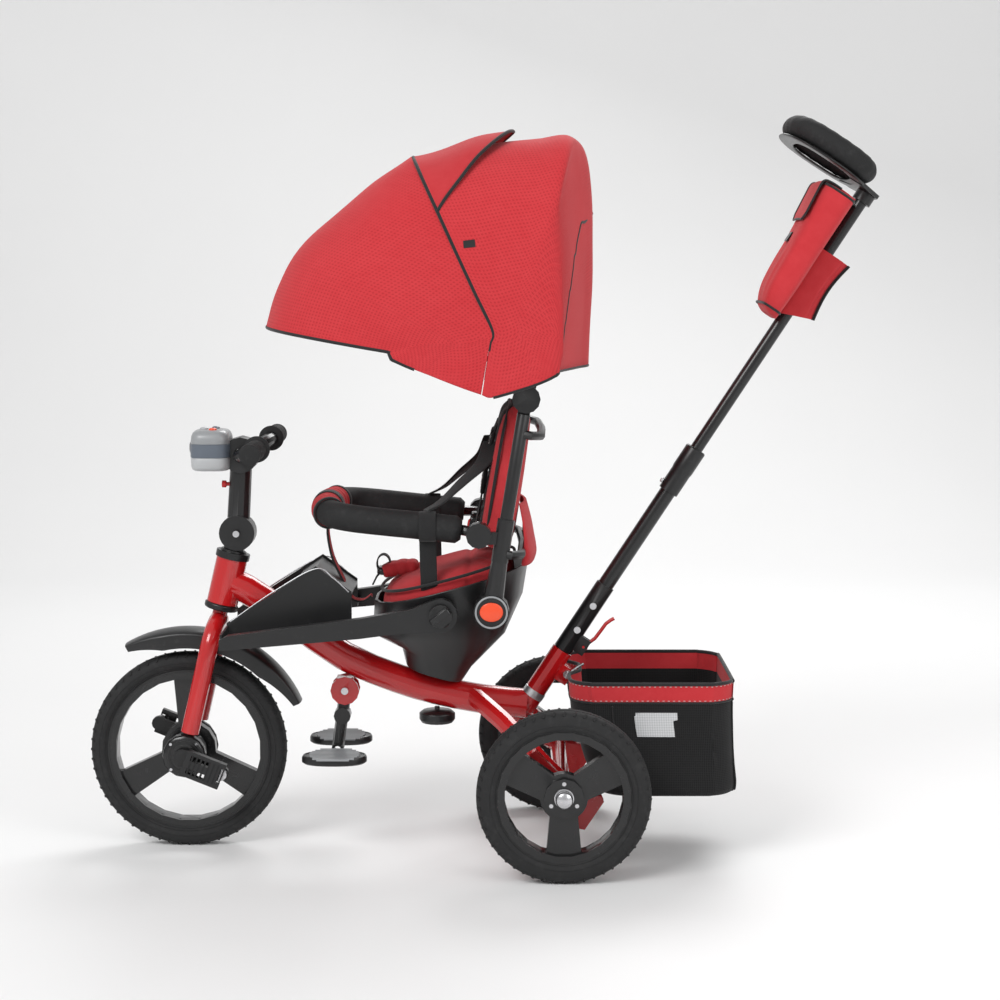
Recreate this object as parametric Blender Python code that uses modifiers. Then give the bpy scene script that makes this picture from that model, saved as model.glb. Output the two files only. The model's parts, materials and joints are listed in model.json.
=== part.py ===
"""Children's push tricycle: canopy, reclining seat, folding footrest and parent handle.

Metres, +Z up. The front points along -X and the left side is -Y. While the parts are made,
x = 0 is over the rear axle and z = 0 is the ground; centre_on_ground() shifts the whole
tree at the end, so that the origin is under the middle of the bounding box.
"""
import math

import bmesh
import bpy
from mathutils import Matrix, Quaternion, Vector

# ---------------------------------------------------------------- driving dimensions
GAP = 0.0004                      # clearance between pieces that touch
WHEELBASE = 0.571
HALF_TRACK = 0.215                # rear wheel centre plane from the middle
FRONT_TYRE_R = 0.150
FRONT_RIM_R = 0.125
FRONT_TYRE_HALF_W = 0.021
REAR_TYRE_R = 0.127
REAR_RIM_R = 0.097
REAR_TYRE_HALF_W = 0.020
TREAD_HALF_W = 0.007              # flat middle of the tread
WHEEL_STEPS = 24                  # facets round a tyre; one of them lies on the ground

HEAD_TILT = math.radians(13.25)   # steering axis, leaning back from the vertical
HEAD_TUBE_R = 0.0238
HEAD_TUBE_LENGTH = 0.0705
HEAD_HEIGHT = 0.222               # front hub to the bottom of the headset, on the axis
HEADSET_R = 0.026
HEADSET_HEIGHT = 0.0105
STEERER_R = 0.0115
FORK_LEG_R = 0.014
FORK_HALF_W = 0.053               # leg centre line from the middle
HUB_COVER_R = 0.033
CRANK_AXLE_R = 0.006
CRANK_LENGTH = 0.062
CRANK_ANGLE = math.radians(-22)   # left crank at rest, measured up from straight back

BEAM_R = 0.0225
STAY_R = 0.0150
AXLE_R = 0.005
AXLE_TUBE_R = 0.0125
AXLE_TUBE_HALF_W = 0.1480

SEAT_HALF_W = 0.145
SEAT_TILT = math.radians(14.9)    # rim of the seat shell, rising to the back
SHELL_WALL = 0.005
POST_OFFSET = 0.166               # backrest post from the middle
POST_R = 0.0095
POST_LEAN = math.radians(9.25)
POST_LENGTH = 0.3130              # recline pivot to canopy joint
RECLINE_HUB_R = 0.026
FOOTREST_BAR_W = 0.016
ARM_HALF_W = 0.124
ARM_FOAM_R = 0.0205

CANOPY_HALF_W = 0.200
CANOPY_HEM_HALF_W = 0.2005
CANOPY_R = 0.345                  # bow radius from the bow hub
CLOTH = 0.0030                    # thickness of the canopy's fabric solids

POLE_LEAN = math.radians(33.2)
SOCKET_LENGTH = 0.088
LOWER_POLE_R = 0.0125
POLE_WALL = 0.0022
UPPER_POLE_R = 0.0098
LOWER_POLE_TOP = 0.440            # measured along the pole from the foot of the socket
POLE_LENGTH = 0.9200              # foot of the socket to the handle

BASKET_HALF_W = 0.140
BASKET_WALL = 0.003

COLOURS = {                       # base colour, roughness, metallic
    "red_paint": ((0.62, 0.02, 0.02), 0.25, 0.0),
    "black_plastic": ((0.020, 0.020, 0.022), 0.40, 0.0),
    "black_tube": ((0.015, 0.015, 0.017), 0.28, 0.3),
    "tyre": ((0.030, 0.030, 0.032), 0.75, 0.0),
    "steel": ((0.70, 0.70, 0.72), 0.25, 1.0),
    "red_fabric": ((0.66, 0.03, 0.05), 0.90, 0.0),
    "black_fabric": ((0.018, 0.018, 0.020), 0.92, 0.0),
    "foam": ((0.020, 0.020, 0.021), 0.85, 0.0),
    "grey_plastic": ((0.36, 0.37, 0.38), 0.45, 0.0),
    "lens": ((0.03, 0.035, 0.05), 0.10, 0.0),
    "orange_plastic": ((0.80, 0.10, 0.03), 0.35, 0.0),
    "red_plastic": ((0.55, 0.02, 0.02), 0.35, 0.0),
}

# ---------------------------------------------------------------- places worked out from them
X, Y, Z = Vector((1, 0, 0)), Vector((0, 1, 0)), Vector((0, 0, 1))
SIDES = (("left", -1), ("right", 1))
FRONT_HUB = Vector((-WHEELBASE, 0, FRONT_TYRE_R))
REAR_HUB = Vector((0, 0, REAR_TYRE_R))
HEAD_DIR = Vector((math.sin(HEAD_TILT), 0, math.cos(HEAD_TILT)))
HEAD_TOP = HEAD_HEIGHT + HEAD_TUBE_LENGTH + 2 * HEADSET_HEIGHT
STEM_PIVOT_T = HEAD_TOP + 0.0305
STEM_JOINT_R = 0.027
POLE_DIR = Vector((math.sin(POLE_LEAN), 0, math.cos(POLE_LEAN)))
POLE_FRONT = Vector((-math.cos(POLE_LEAN), 0, math.sin(POLE_LEAN)))
POLE_FOOT = Vector((-0.0446, 0, REAR_TYRE_R + 0.1022))
SEAT_AT = Vector((-0.190, 0, REAR_TYRE_R + 0.1135))      # beam centre line under the seat
RECLINE_PIVOT = SEAT_AT + Vector((0.0852, 0, 0.1491))
FOOTREST_PIVOT = SEAT_AT + Vector((0.0108, 0, 0.1412))
POST_DIR = Vector((math.sin(POST_LEAN), 0, math.cos(POST_LEAN)))
POST_FRONT = Vector((-math.cos(POST_LEAN), 0, math.sin(POST_LEAN)))
CANOPY_PIVOT = RECLINE_PIVOT + POST_LENGTH * POST_DIR
BOW_HUB = CANOPY_PIVOT + Vector((-0.0206, 0, 0.0391))
ARM_PIVOT = RECLINE_PIVOT + Vector((-0.0183, 0, 0.1110))
PEG_PIVOT = SEAT_AT + Vector((-0.1400, 0, 0.0012))


def head(t, y=0.0):
    """Point on the steering axis, t above the front hub, moved sideways by y."""
    return FRONT_HUB + t * HEAD_DIR + y * Y


def pole(s, forward=0.0, y=0.0):
    """Point on the push pole, s above the foot of its socket."""
    return POLE_FOOT + s * POLE_DIR + forward * POLE_FRONT + y * Y


def post(s, y=0.0, forward=0.0):
    """Point on the backrest post's line, s above the recline pivot."""
    return RECLINE_PIVOT + s * POST_DIR + forward * POST_FRONT + y * Y


# ---------------------------------------------------------------- building helpers
def clear_scene():
    for obj in list(bpy.data.objects):
        bpy.data.objects.remove(obj, do_unlink=True)


def make_materials():
    made = {}
    for name, (colour, roughness, metallic) in COLOURS.items():
        mat = bpy.data.materials.new(name)
        mat.use_nodes = True
        shader = mat.node_tree.nodes["Principled BSDF"]
        shader.inputs["Base Color"].default_value = (*colour, 1.0)
        shader.inputs["Roughness"].default_value = roughness
        shader.inputs["Metallic"].default_value = metallic
        made[name] = mat
    return made


def collection(name, hidden=False):
    coll = bpy.data.collections.new(name)
    bpy.context.scene.collection.children.link(coll)
    coll.hide_render = hidden
    return coll


class Tree:
    """The empties that carry the bodies, each on its joint's axis."""

    def __init__(self, coll):
        self.coll = coll
        self.at = {}
        self.empty = {}

    def body(self, name, at=(0, 0, 0), parent=None):
        empty = bpy.data.objects.new(name + "_pivot", None)
        empty.empty_display_size = 0.03
        self.coll.objects.link(empty)
        self.at[name] = Vector(at)
        self.empty[name] = empty
        empty.parent = self.empty.get(parent)
        empty.location = self.at[name] - self.at.get(parent, Vector())


def turn_to(axis, spin=0.0):
    """Rotation that takes local Z to axis; on a leaning axis local X then lies along Y."""
    if Vector(axis).normalized() == Y:
        aim = Quaternion(X, -math.pi / 2)
    else:
        aim = Vector(axis).to_track_quat("Z", "Y")
    return aim @ Quaternion(Z, spin)


def place(obj, at=(0, 0, 0), rotation=None):
    obj.location = Vector(at)
    if rotation is not None:
        obj.rotation_euler = rotation.to_euler()
    return obj


def new_object(name, data):
    obj = bpy.data.objects.new(name, data)
    PARTS.objects.link(obj)
    return obj


def part(obj, name, body, material):
    """Name a finished piece, give it its material and hang it on its body's pivot."""
    obj.name = name
    obj.data.name = name
    obj.data.materials.clear()
    obj.data.materials.append(MATERIALS[material])
    obj.location = obj.location - TREE.at[body]
    obj.parent = TREE.empty[body]
    return obj


def box(size, at, rotation=None, bevel=0.0, segments=2):
    bm = bmesh.new()
    bmesh.ops.create_cube(bm, size=1.0, matrix=Matrix.Diagonal((*size, 1.0)))
    obj = from_bmesh(bm, at, rotation)
    if bevel:
        add_bevel(obj, bevel, segments)
    return obj


def cylinder(radius, length, at, axis=Y, segments=12, top=None, spin=0.0):
    """Cylinder or cone centred on at; top is the radius at the axis's far end."""
    bm = bmesh.new()
    bmesh.ops.create_cone(bm, cap_ends=True, segments=segments, radius1=radius,
                          radius2=radius if top is None else top, depth=length)
    return from_bmesh(bm, at, turn_to(axis, spin))


def from_bmesh(bm, at=(0, 0, 0), rotation=None):
    mesh = bpy.data.meshes.new("piece")
    bm.to_mesh(mesh)
    bm.free()
    return place(new_object("piece", mesh), at, rotation)


def turned(profile, at, axis=Y, steps=16, spin=0.0, ring=False):
    """Turn a profile of (radius, height) points, listed from the top down the outside."""
    mesh = bpy.data.meshes.new("profile")
    count = len(profile)
    edges = [(i, i + 1) for i in range(count - 1)]
    if ring:
        edges.append((count - 1, 0))
    mesh.from_pydata([(r, 0, h) for r, h in profile], edges, [])
    obj = place(new_object("piece", mesh), at, turn_to(axis, spin))
    screw = obj.modifiers.new("turn", "SCREW")
    screw.steps = steps
    screw.render_steps = steps
    screw.use_merge_vertices = True
    screw.merge_threshold = 0.00001
    return obj


def tube(points, radius, resolution=2, closed=False, smooth=True):
    """Round bar along a path, as a mesh; smooth=False keeps straight runs between points."""
    curve = bpy.data.curves.new("path", "CURVE")
    curve.dimensions = "3D"
    curve.bevel_depth = radius
    curve.bevel_resolution = resolution
    curve.use_fill_caps = not closed
    spline = curve.splines.new("POLY")
    path = smooth_path(points, closed) if smooth else [Vector(p) for p in points]
    spline.points.add(len(path) - 1)
    for point, at in zip(spline.points, path):
        point.co = (*at, 1.0)
    spline.use_cyclic_u = closed
    obj = new_object("path", curve)
    return to_mesh(obj)


def smooth_path(points, closed=False, per_span=2):
    """Catmull-Rom curve through the points, with per_span steps between neighbours."""
    pts = [Vector(p) for p in points]
    count = len(pts)
    spans = count if closed else count - 1
    path = []
    for i in range(spans):
        a, b, c, d = (pts[(i + k) % count] if closed else pts[min(max(i + k, 0), count - 1)]
                      for k in (-1, 0, 1, 2))
        for step in range(per_span):
            t = step / per_span
            path.append(0.5 * (2 * b + (c - a) * t + (2 * a - 5 * b + 4 * c - d) * t ** 2
                               + (3 * b - a - 3 * c + d) * t ** 3))
    if not closed:
        path.append(pts[-1])
    return path


def to_mesh(obj):
    """Replace an object by the welded mesh that its modifiers or its curve give."""
    bpy.context.view_layer.update()
    evaluated = obj.evaluated_get(bpy.context.evaluated_depsgraph_get())
    mesh = bpy.data.meshes.new_from_object(evaluated)
    bm = bmesh.new()
    bm.from_mesh(mesh)
    bmesh.ops.remove_doubles(bm, verts=bm.verts, dist=0.000002)
    bmesh.ops.recalc_face_normals(bm, faces=bm.faces)
    bm.to_mesh(mesh)
    bm.free()
    solid = new_object("piece", mesh)
    solid.matrix_world = obj.matrix_world.copy()
    bpy.data.objects.remove(obj, do_unlink=True)
    return solid


def plate(outline, half_thickness, at, axis=Y, holes=()):
    """Flat outline of (x, z) points, extruded both ways along Y or another axis."""
    curve = bpy.data.curves.new("outline", "CURVE")
    curve.dimensions = "2D"
    curve.fill_mode = "BOTH"
    curve.extrude = half_thickness
    for loop in (outline, *holes):
        spline = curve.splines.new("POLY")
        spline.points.add(len(loop) - 1)
        for point, (u, v) in zip(spline.points, loop):
            point.co = (u, v, 0, 1)
        spline.use_cyclic_u = True
    obj = place(new_object("outline", curve), at, plate_turn(axis))
    return to_mesh(obj)


def plate_turn(axis):
    """Outline x stays along X; outline y becomes Z for a plate across Y, Y for one across Z."""
    return Quaternion(X, math.pi / 2) if axis == Y else Quaternion()


def arc(centre, radius, start, end, steps):
    """Points on an arc in an outline's plane; angles in degrees."""
    out = []
    for i in range(steps + 1):
        a = math.radians(start + (end - start) * i / steps)
        out.append((centre[0] + radius * math.cos(a), centre[1] + radius * math.sin(a)))
    return out


def loft(rings, closed=False):
    """Skin over rings of equal count; both ends are capped unless the loft closes on itself."""
    bm = bmesh.new()
    loops = [[bm.verts.new(p) for p in ring] for ring in rings]
    count = len(loops[0])
    spans = len(loops) if closed else len(loops) - 1
    for i in range(spans):
        low, high = loops[i], loops[(i + 1) % len(loops)]
        for k in range(count):
            j = (k + 1) % count
            bm.faces.new((low[k], low[j], high[j], high[k]))
    if not closed:
        bm.faces.new(list(reversed(loops[0])))
        bm.faces.new(loops[-1])
    bmesh.ops.recalc_face_normals(bm, faces=bm.faces)
    return from_bmesh(bm)


def sheet(rows, thickness):
    """Open grid of points thickened to one side, as fabric or a pressed panel."""
    bm = bmesh.new()
    grid = [[bm.verts.new(p) for p in row] for row in rows]
    for low, high in zip(grid, grid[1:]):
        for k in range(len(low) - 1):
            bm.faces.new((low[k], low[k + 1], high[k + 1], high[k]))
    obj = from_bmesh(bm)
    solid = obj.modifiers.new("thickness", "SOLIDIFY")
    solid.thickness = thickness
    solid.offset = 1.0
    solid.use_even_offset = True
    return obj


def oval(centre, half_x, half_y, slope=0.0, count=20, power=0.8):
    """Ring round centre, in a plane that rises to the back by slope."""
    ring = []
    for i in range(count):
        a = 2 * math.pi * (i + 0.5) / count
        c, s = math.cos(a), math.sin(a)
        u = half_x * math.copysign(abs(c) ** power, c)
        v = half_y * math.copysign(abs(s) ** power, s)
        ring.append(Vector(centre) + Vector((u * math.cos(slope), v, u * math.sin(slope))))
    return ring


def add_bevel(obj, width, segments=2, angle=30):
    bevel = obj.modifiers.new("edges", "BEVEL")
    bevel.width = width
    bevel.segments = segments
    bevel.limit_method = "ANGLE"
    bevel.angle_limit = math.radians(angle)
    return obj


def combine(base, others, operation="UNION"):
    """Boolean of several pieces with base; the others stay as cutters."""
    for other in others:
        PARTS.objects.unlink(other)
        CUTTERS.objects.link(other)
        other.display_type = "WIRE"
        other.hide_render = True
        other.name = "cutter"
        boolean = base.modifiers.new(operation.lower(), "BOOLEAN")
        boolean.operation = operation
        boolean.object = other
        boolean.solver = "EXACT"
    return base


def union(pieces):
    return to_mesh_and_free(combine(pieces[0], pieces[1:]))


def cut(base, cutters):
    return to_mesh_and_free(combine(base, cutters, "DIFFERENCE"))


def to_mesh_and_free(obj):
    """Bake the Booleans, so that the piece can itself be used in another."""
    used = [m.object for m in obj.modifiers if m.type == "BOOLEAN"]
    solid = to_mesh(obj)
    for cutter in used:
        bpy.data.objects.remove(cutter, do_unlink=True)
    return solid


def mirrored(points):
    """A path listed from one side to the middle, carried on to the other side."""
    pts = [Vector(p) for p in points]
    return pts + [Vector((p.x, -p.y, p.z)) for p in reversed(pts[:-1])]


# ---------------------------------------------------------------- frame
def beam_path():
    """Centre line of the main beam, from the head tube to the foot of the push pole."""
    start = head(HEAD_HEIGHT + HEADSET_HEIGHT + 0.5 * HEAD_TUBE_LENGTH)
    end = pole(-0.012)
    return [start, start + Vector((0.030, 0, -0.014)), start + Vector((0.098, 0, -0.060)),
            SEAT_AT + Vector((-0.141, 0, 0.0525)), SEAT_AT + Vector((-0.060, 0, 0.018)), SEAT_AT,
            SEAT_AT + Vector((0.070, 0, -0.014)), end]


def stay_path(side):
    return [SEAT_AT + Vector((0.050, 0, -0.004)), Vector((-0.085, side * 0.065, SEAT_AT.z - 0.038)),
            Vector((-0.035, side * 0.112, REAR_TYRE_R + 0.030)), REAR_HUB + side * 0.132 * Y]


def head_parts():
    inner = STEERER_R + GAP
    middle = head(HEAD_HEIGHT + HEADSET_HEIGHT + 0.5 * HEAD_TUBE_LENGTH)
    tube_half = 0.5 * HEAD_TUBE_LENGTH
    shell = cylinder(HEAD_TUBE_R, 2 * tube_half, middle, HEAD_DIR, segments=20)
    bore = cylinder(inner, 2 * tube_half + 0.02, middle, HEAD_DIR, segments=16)
    cup = headset_ring(middle - (tube_half + 0.5 * HEADSET_HEIGHT) * HEAD_DIR)
    part(cup, "headset_cup", "frame", "black_plastic")
    return shell, bore


def headset_ring(at):
    inner, half = STEERER_R + GAP, 0.5 * HEADSET_HEIGHT - GAP
    profile = [(inner, half), (HEADSET_R - 0.002, half), (HEADSET_R, half - 0.002),
               (HEADSET_R, -half + 0.002), (HEADSET_R - 0.002, -half), (inner, -half)]
    return turned(profile, at, HEAD_DIR, ring=True)


def frame_parts():
    head_shell, head_bore = head_parts()
    beam = tube(beam_path(), BEAM_R, resolution=5)
    stays = [tube(stay_path(side), STAY_R, resolution=3) for _, side in SIDES]
    axle_tube = cylinder(AXLE_TUBE_R, 2 * AXLE_TUBE_HALF_W, REAR_HUB)
    axle_bore = cylinder(AXLE_R + GAP, 2 * AXLE_TUBE_HALF_W + 0.02, REAR_HUB)
    socket_r = LOWER_POLE_R + 0.0040
    socket = cylinder(socket_r, SOCKET_LENGTH + 0.020, pole(0.5 * SOCKET_LENGTH - 0.010), POLE_DIR)
    socket_bore = cylinder(LOWER_POLE_R + GAP, SOCKET_LENGTH, pole(0.5 * SOCKET_LENGTH + 0.0035),
                           POLE_DIR, segments=16)
    ear = box((0.022, 0.024, 0.026), pole(SOCKET_LENGTH - 0.030, -socket_r - 0.004),
              turn_to(POLE_DIR))
    slot = box((0.0030, 0.040, 0.060), pole(SOCKET_LENGTH - 0.016, -socket_r - 0.006),
               turn_to(POLE_DIR))
    skewer_hole = cylinder(0.0034, 0.06, skewer_at())
    frame = union([beam, head_shell, *stays, axle_tube, socket, ear])
    frame = cut(frame, [head_bore, axle_bore, socket_bore, slot, skewer_hole])
    part(frame, "main_frame", "frame", "red_paint")

    reach = HALF_TRACK + REAR_TYRE_HALF_W + 0.010
    axle = turned([(0, reach + 0.004), (0.007, reach + 0.0035), (0.011, reach + 0.001),
                   (0.013, reach - 0.002), (AXLE_R, reach - 0.002), (AXLE_R, -reach + 0.002),
                   (0.013, -reach + 0.002), (0.011, -reach - 0.001), (0.007, -reach - 0.0035),
                   (0, -reach - 0.004)], REAR_HUB)
    part(axle, "rear_axle", "frame", "steel")
    bracket_parts()


def skewer_at():
    return pole(SOCKET_LENGTH - 0.026, -LOWER_POLE_R - 0.0130)


def bracket_parts():
    """Black clevis under the beam that carries the foot pegs."""
    cheeks = [cylinder(0.022, 0.006, PEG_PIVOT + side * 0.0140 * Y) for _, side in SIDES]
    bridge = box((0.026, 0.034, 0.006), PEG_PIVOT + Vector((0, 0, 0.0165)))
    pin = cylinder(0.004, 0.036, PEG_PIVOT)
    part(union([cheeks[0], cheeks[1], bridge, pin]), "peg_bracket", "frame", "black_plastic")


# ---------------------------------------------------------------- wheels
def tyre(name, body, at, outer, inner, half_w):
    """Tyre with a flat tread band; a facet of the band touches the ground."""
    rim = outer / math.cos(math.pi / WHEEL_STEPS)
    deep = outer - inner
    profile = [(inner + GAP, half_w - 0.004), (inner + 0.004, half_w - 0.001),
               (outer - 0.45 * deep, half_w), (rim - 0.16 * deep, half_w - 0.005),
               (rim, TREAD_HALF_W)]
    profile += [(r, -h) for r, h in reversed(profile)]
    piece = turned(profile, at, steps=WHEEL_STEPS, spin=math.pi / WHEEL_STEPS, ring=True)
    part(piece, name, body, "tyre")


def spoked_rim(at, outer, lip, hub, spoke_w, lip_half_w, web_half_w, turn, bore):
    """Moulded rim: a wide outer ring on a web with three tapered spokes."""
    windows = []
    for k in range(3):
        first, last = turn + 120 * k, turn + 120 * (k + 1)
        wide = math.degrees(math.asin(0.5 * spoke_w[1] / lip))
        near = math.degrees(math.asin(0.5 * spoke_w[0] / (hub + 0.006)))
        windows.append(arc((0, 0), lip, first + wide, last - wide, 9)
                       + arc((0, 0), hub + 0.006, last - near, first + near, 3))
    web = plate(arc((0, 0), 0.5 * (lip + outer), 0, 360 - 9, 39), web_half_w, at, holes=windows)
    half = lip_half_w
    ring = turned([(lip, half), (outer, half), (outer, -half), (lip, -half)], at,
                  steps=WHEEL_STEPS, spin=math.pi / WHEEL_STEPS, ring=True)
    boss = cylinder(hub, 2 * lip_half_w, at)
    hole = cylinder(bore, 0.1, at, segments=32)
    return cut(union([to_mesh(ring), web, boss]), [hole])


def front_wheel_parts():
    tyre("front_tyre", "front_wheel", FRONT_HUB, FRONT_TYRE_R, FRONT_RIM_R, FRONT_TYRE_HALF_W)
    hub_r = 0.030
    rim = spoked_rim(FRONT_HUB, FRONT_RIM_R, FRONT_RIM_R - 0.014, hub_r + 0.006, (0.031, 0.043),
                     FRONT_TYRE_HALF_W - 0.005, 0.0085, 90, hub_r + GAP)
    part(rim, "front_rim", "front_wheel", "black_plastic")
    bore = CRANK_AXLE_R + GAP
    face = FORK_HALF_W - FORK_LEG_R - 0.0030
    flange = 0.042
    hub = turned([(bore, face), (0.020, face), (flange, 0.0205), (flange, 0.0175),
                  (hub_r, 0.0170), (hub_r, -0.0205), (0.020, -face), (bore, -face)],
                 FRONT_HUB, ring=True)
    part(hub, "front_hub", "front_wheel", "grey_plastic")


def rear_wheel_parts():
    for name, side in SIDES:
        at = REAR_HUB + side * HALF_TRACK * Y
        body = "rear_wheel_" + name
        tyre("rear_tyre_" + name, body, at, REAR_TYRE_R, REAR_RIM_R, REAR_TYRE_HALF_W)
        rim = spoked_rim(at, REAR_RIM_R, REAR_RIM_R - 0.011, 0.029, (0.041, 0.051),
                         REAR_TYRE_HALF_W - 0.003, 0.0095, 30, AXLE_R + GAP)
        part(rim, "rear_rim_" + name, body, "black_plastic")


# ---------------------------------------------------------------- fork, cranks and pedals
def fork_crown_t():
    return HEAD_HEIGHT - FORK_LEG_R - 0.003


def fork_parts():
    foot = HUB_COVER_R + 0.003
    crown = fork_crown_t()
    legs = tube(mirrored([head(foot, -FORK_HALF_W), head(crown - 0.055, -FORK_HALF_W),
                          head(crown - 0.022, -FORK_HALF_W + 0.006), head(crown - 0.006, -0.030),
                          head(crown)]), FORK_LEG_R, resolution=4)
    top = steerer_top()
    steerer = cylinder(STEERER_R, top - crown, head(0.5 * (crown + top)), HEAD_DIR, segments=16)
    part(union([legs, steerer]), "fork", "steering", "red_paint")
    for name, side in SIDES:
        at = FRONT_HUB + side * FORK_HALF_W * Y
        bore, half = CRANK_AXLE_R + GAP, FORK_LEG_R - 0.001
        profile = [(bore, half), (HUB_COVER_R - 0.004, half), (HUB_COVER_R, half - 0.004),
                   (HUB_COVER_R, -half + 0.004), (HUB_COVER_R - 0.004, -half), (bore, -half)]
        part(turned(profile, at, ring=True), "fork_cover_" + name, "steering", "black_plastic")
    part(fender_sheet(), "front_fender", "steering", "black_plastic")


def steerer_top():
    return STEM_PIVOT_T - STEM_JOINT_R - 0.001


def fender_sheet():
    """Deep-sided mudguard over the front tyre, with a pointed tail."""
    top = fork_crown_t() - FORK_LEG_R - 0.0020
    thick = 0.0025
    rows = []
    for i in range(15):
        f = i / 14
        a = math.radians(127 - 104 * f)
        size = min(1.0, 0.42 + 3.2 * min(f, 0.75 * (1 - f)))
        half_w = 0.0305 * (0.55 + 0.45 * size)
        skirt = 0.029 * size
        section = [(-half_w, -skirt), (-half_w, -0.35 * skirt), (-0.8 * half_w, -0.006 * size), (0, 0),
                   (0.8 * half_w, -0.006 * size), (half_w, -0.35 * skirt), (half_w, -skirt)]
        radius = top - thick
        rows.append([FRONT_HUB + Vector(((radius + r) * math.cos(a), y, (radius + r) * math.sin(a)))
                     for y, r in section])
    return sheet(list(reversed(rows)), thick)


def crank_dir(side):
    a = CRANK_ANGLE if side < 0 else CRANK_ANGLE + math.pi
    return Vector((math.cos(a), 0, math.sin(a)))


def crank_end(side, out=0.0):
    return FRONT_HUB + CRANK_LENGTH * crank_dir(side) + side * (crank_y() + out) * Y


def crank_y():
    """Middle plane of a crank arm."""
    return FORK_HALF_W + FORK_LEG_R + 0.0045


def crank_parts():
    axle = cylinder(CRANK_AXLE_R, 2 * crank_y(), FRONT_HUB)
    pieces = [axle]
    for _, side in SIDES:
        at = FRONT_HUB + side * crank_y() * Y
        pieces.append(cylinder(0.014, 0.009, at))
        middle = at + 0.5 * CRANK_LENGTH * crank_dir(side)
        angle = math.atan2(crank_dir(side).z, crank_dir(side).x)
        pieces.append(box((CRANK_LENGTH, 0.008, 0.019), middle, Quaternion(Y, -angle)))
        pieces.append(cylinder(0.0115, 0.0084, crank_end(side)))
        pieces.append(cylinder(0.0035, 0.0150, crank_end(side, 0.0038)))
    part(union(pieces), "crank_set", "cranks", "black_plastic")
    for name, side in SIDES:
        pedal_parts(name, side)


def fold_at(side):
    """Hinge line between a pedal's axle block and its platform."""
    return crank_end(side, 0.0145)


def pedal_parts(name, side):
    back = -crank_dir(side)
    angle = math.atan2(back.z, back.x)
    rotation = Quaternion(Y, -angle)
    block = cylinder(0.0095, 0.0070, crank_end(side, 0.0088))
    knuckle = cylinder(0.0035, 0.020, fold_at(side), fold_axis(side))
    hole = cylinder(0.0035 + GAP, 0.020, crank_end(side, 0.0018))
    part(cut(union([block, knuckle]), [hole]), "pedal_axle_" + name, "pedal_spin_" + name, "steel")
    at = fold_at(side) + 0.0270 * back + side * 0.0040 * Y
    slab = box((0.062, 0.0120, 0.040), at, rotation)
    clear = cylinder(0.0100 + GAP, 0.024, fold_at(side), fold_axis(side))
    pedal = cut(slab, [clear])
    slots = []
    for k in (-1, 1):
        slots.append(box((0.030, 0.02, 0.008), at + 0.008 * back + k * 0.010 * fold_axis(side), rotation))
    part(cut(pedal, slots), "pedal_" + name, "pedal_fold_" + name, "black_plastic")


def fold_axis(side):
    """Along the pedal's hinge line, square to the crank and to the wheel's axle."""
    d = crank_dir(side)
    return Vector((-d.z, 0, d.x))


# ---------------------------------------------------------------- handlebar
def stem_head():
    return head(STEM_PIVOT_T) + Vector((0.0072, 0, 0.1190))


def handlebar_parts():
    pivot = head(STEM_PIVOT_T)
    tongue_w = 0.0100
    tongue = cylinder(STEM_JOINT_R, 2 * tongue_w, pivot, segments=24)
    foot_t = HEAD_TOP - HEADSET_HEIGHT
    foot = cylinder(HEADSET_R, HEADSET_HEIGHT - GAP, head(foot_t + 0.5 * HEADSET_HEIGHT + 0.5 * GAP),
                    HEAD_DIR, segments=16)
    cover = cylinder(0.0195, 0.004, head(HEAD_TOP + 0.001), HEAD_DIR)
    neck = box((0.030, 2 * tongue_w, 0.028), head(HEAD_TOP + 0.015), Quaternion(Y, HEAD_TILT))
    seat = cylinder(STEERER_R + GAP, 0.030, head(steerer_top() + GAP - 0.015), HEAD_DIR,
                    segments=16)
    part(cut(union([tongue, foot, cover, neck]), [seat]), "stem_joint", "steering",
         "black_plastic")

    top = stem_head()
    along = (top - pivot).normalized()
    post_piece = cylinder(0.0175, (top - pivot).length, 0.5 * (top + pivot), along, top=0.0165)
    ears = cylinder(STEM_JOINT_R, 0.0360, pivot, segments=24)
    ring = cylinder(0.0275, 0.0400, top)
    slot = cylinder(STEM_JOINT_R + 0.0006, 2 * (tongue_w + GAP), pivot, segments=32)
    bore = cylinder(0.0100 + 1.5 * GAP, 0.06, top, segments=16)
    pin_hole = cylinder(0.0030 + GAP, 0.020, pin_at() + Vector((0.006, 0, 0)), X)
    part(cut(union([post_piece, ears, ring]), [slot, bore, pin_hole]), "stem_post", "handlebar",
         "black_plastic")
    pin = turned([(0, 0.011), (0.0055, 0.010), (0.0055, 0.004), (0.0030, 0.003), (0.0030, -0.006),
                  (0, -0.006)], pin_at(), -X)
    part(pin, "stem_lock_pin", "stem_lock_pin", "red_plastic")

    path = mirrored([bar_point(y) for y in (0.196, 0.150, 0.104, 0.092, 0.072, 0.050, 0.034, 0.024)]
                    + [top])
    part(tube(path, 0.0100, resolution=3), "handlebar_tube", "handlebar", "black_tube")
    for name, side in SIDES:
        outer, inner = bar_point(0.202, side), bar_point(0.100, side)
        length = (outer - inner).length
        bore_r = 0.0105
        profile = [(0, length), (0.0135, length), (0.0150, length - 0.002), (0.0145, 0.008),
                   (0.0195, 0.007), (0.0195, 0), (bore_r, 0), (bore_r, length - 0.0045),
                   (0, length - 0.0045)]
        grip = turned(profile, inner, outer - inner)
        part(grip, "handlebar_grip_" + name, "handlebar", "foam")
    console_parts(top)


def bar_point(y, side=-1):
    """Swept-back handlebar: the grips lie behind and above the clamp."""
    f = min(1.0, max(0.0, (y - 0.030) / 0.060))
    blend = f * f * (3 - 2 * f)
    return stem_head() + Vector((0.0344 * blend, side * y, 0.0164 * blend))


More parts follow.
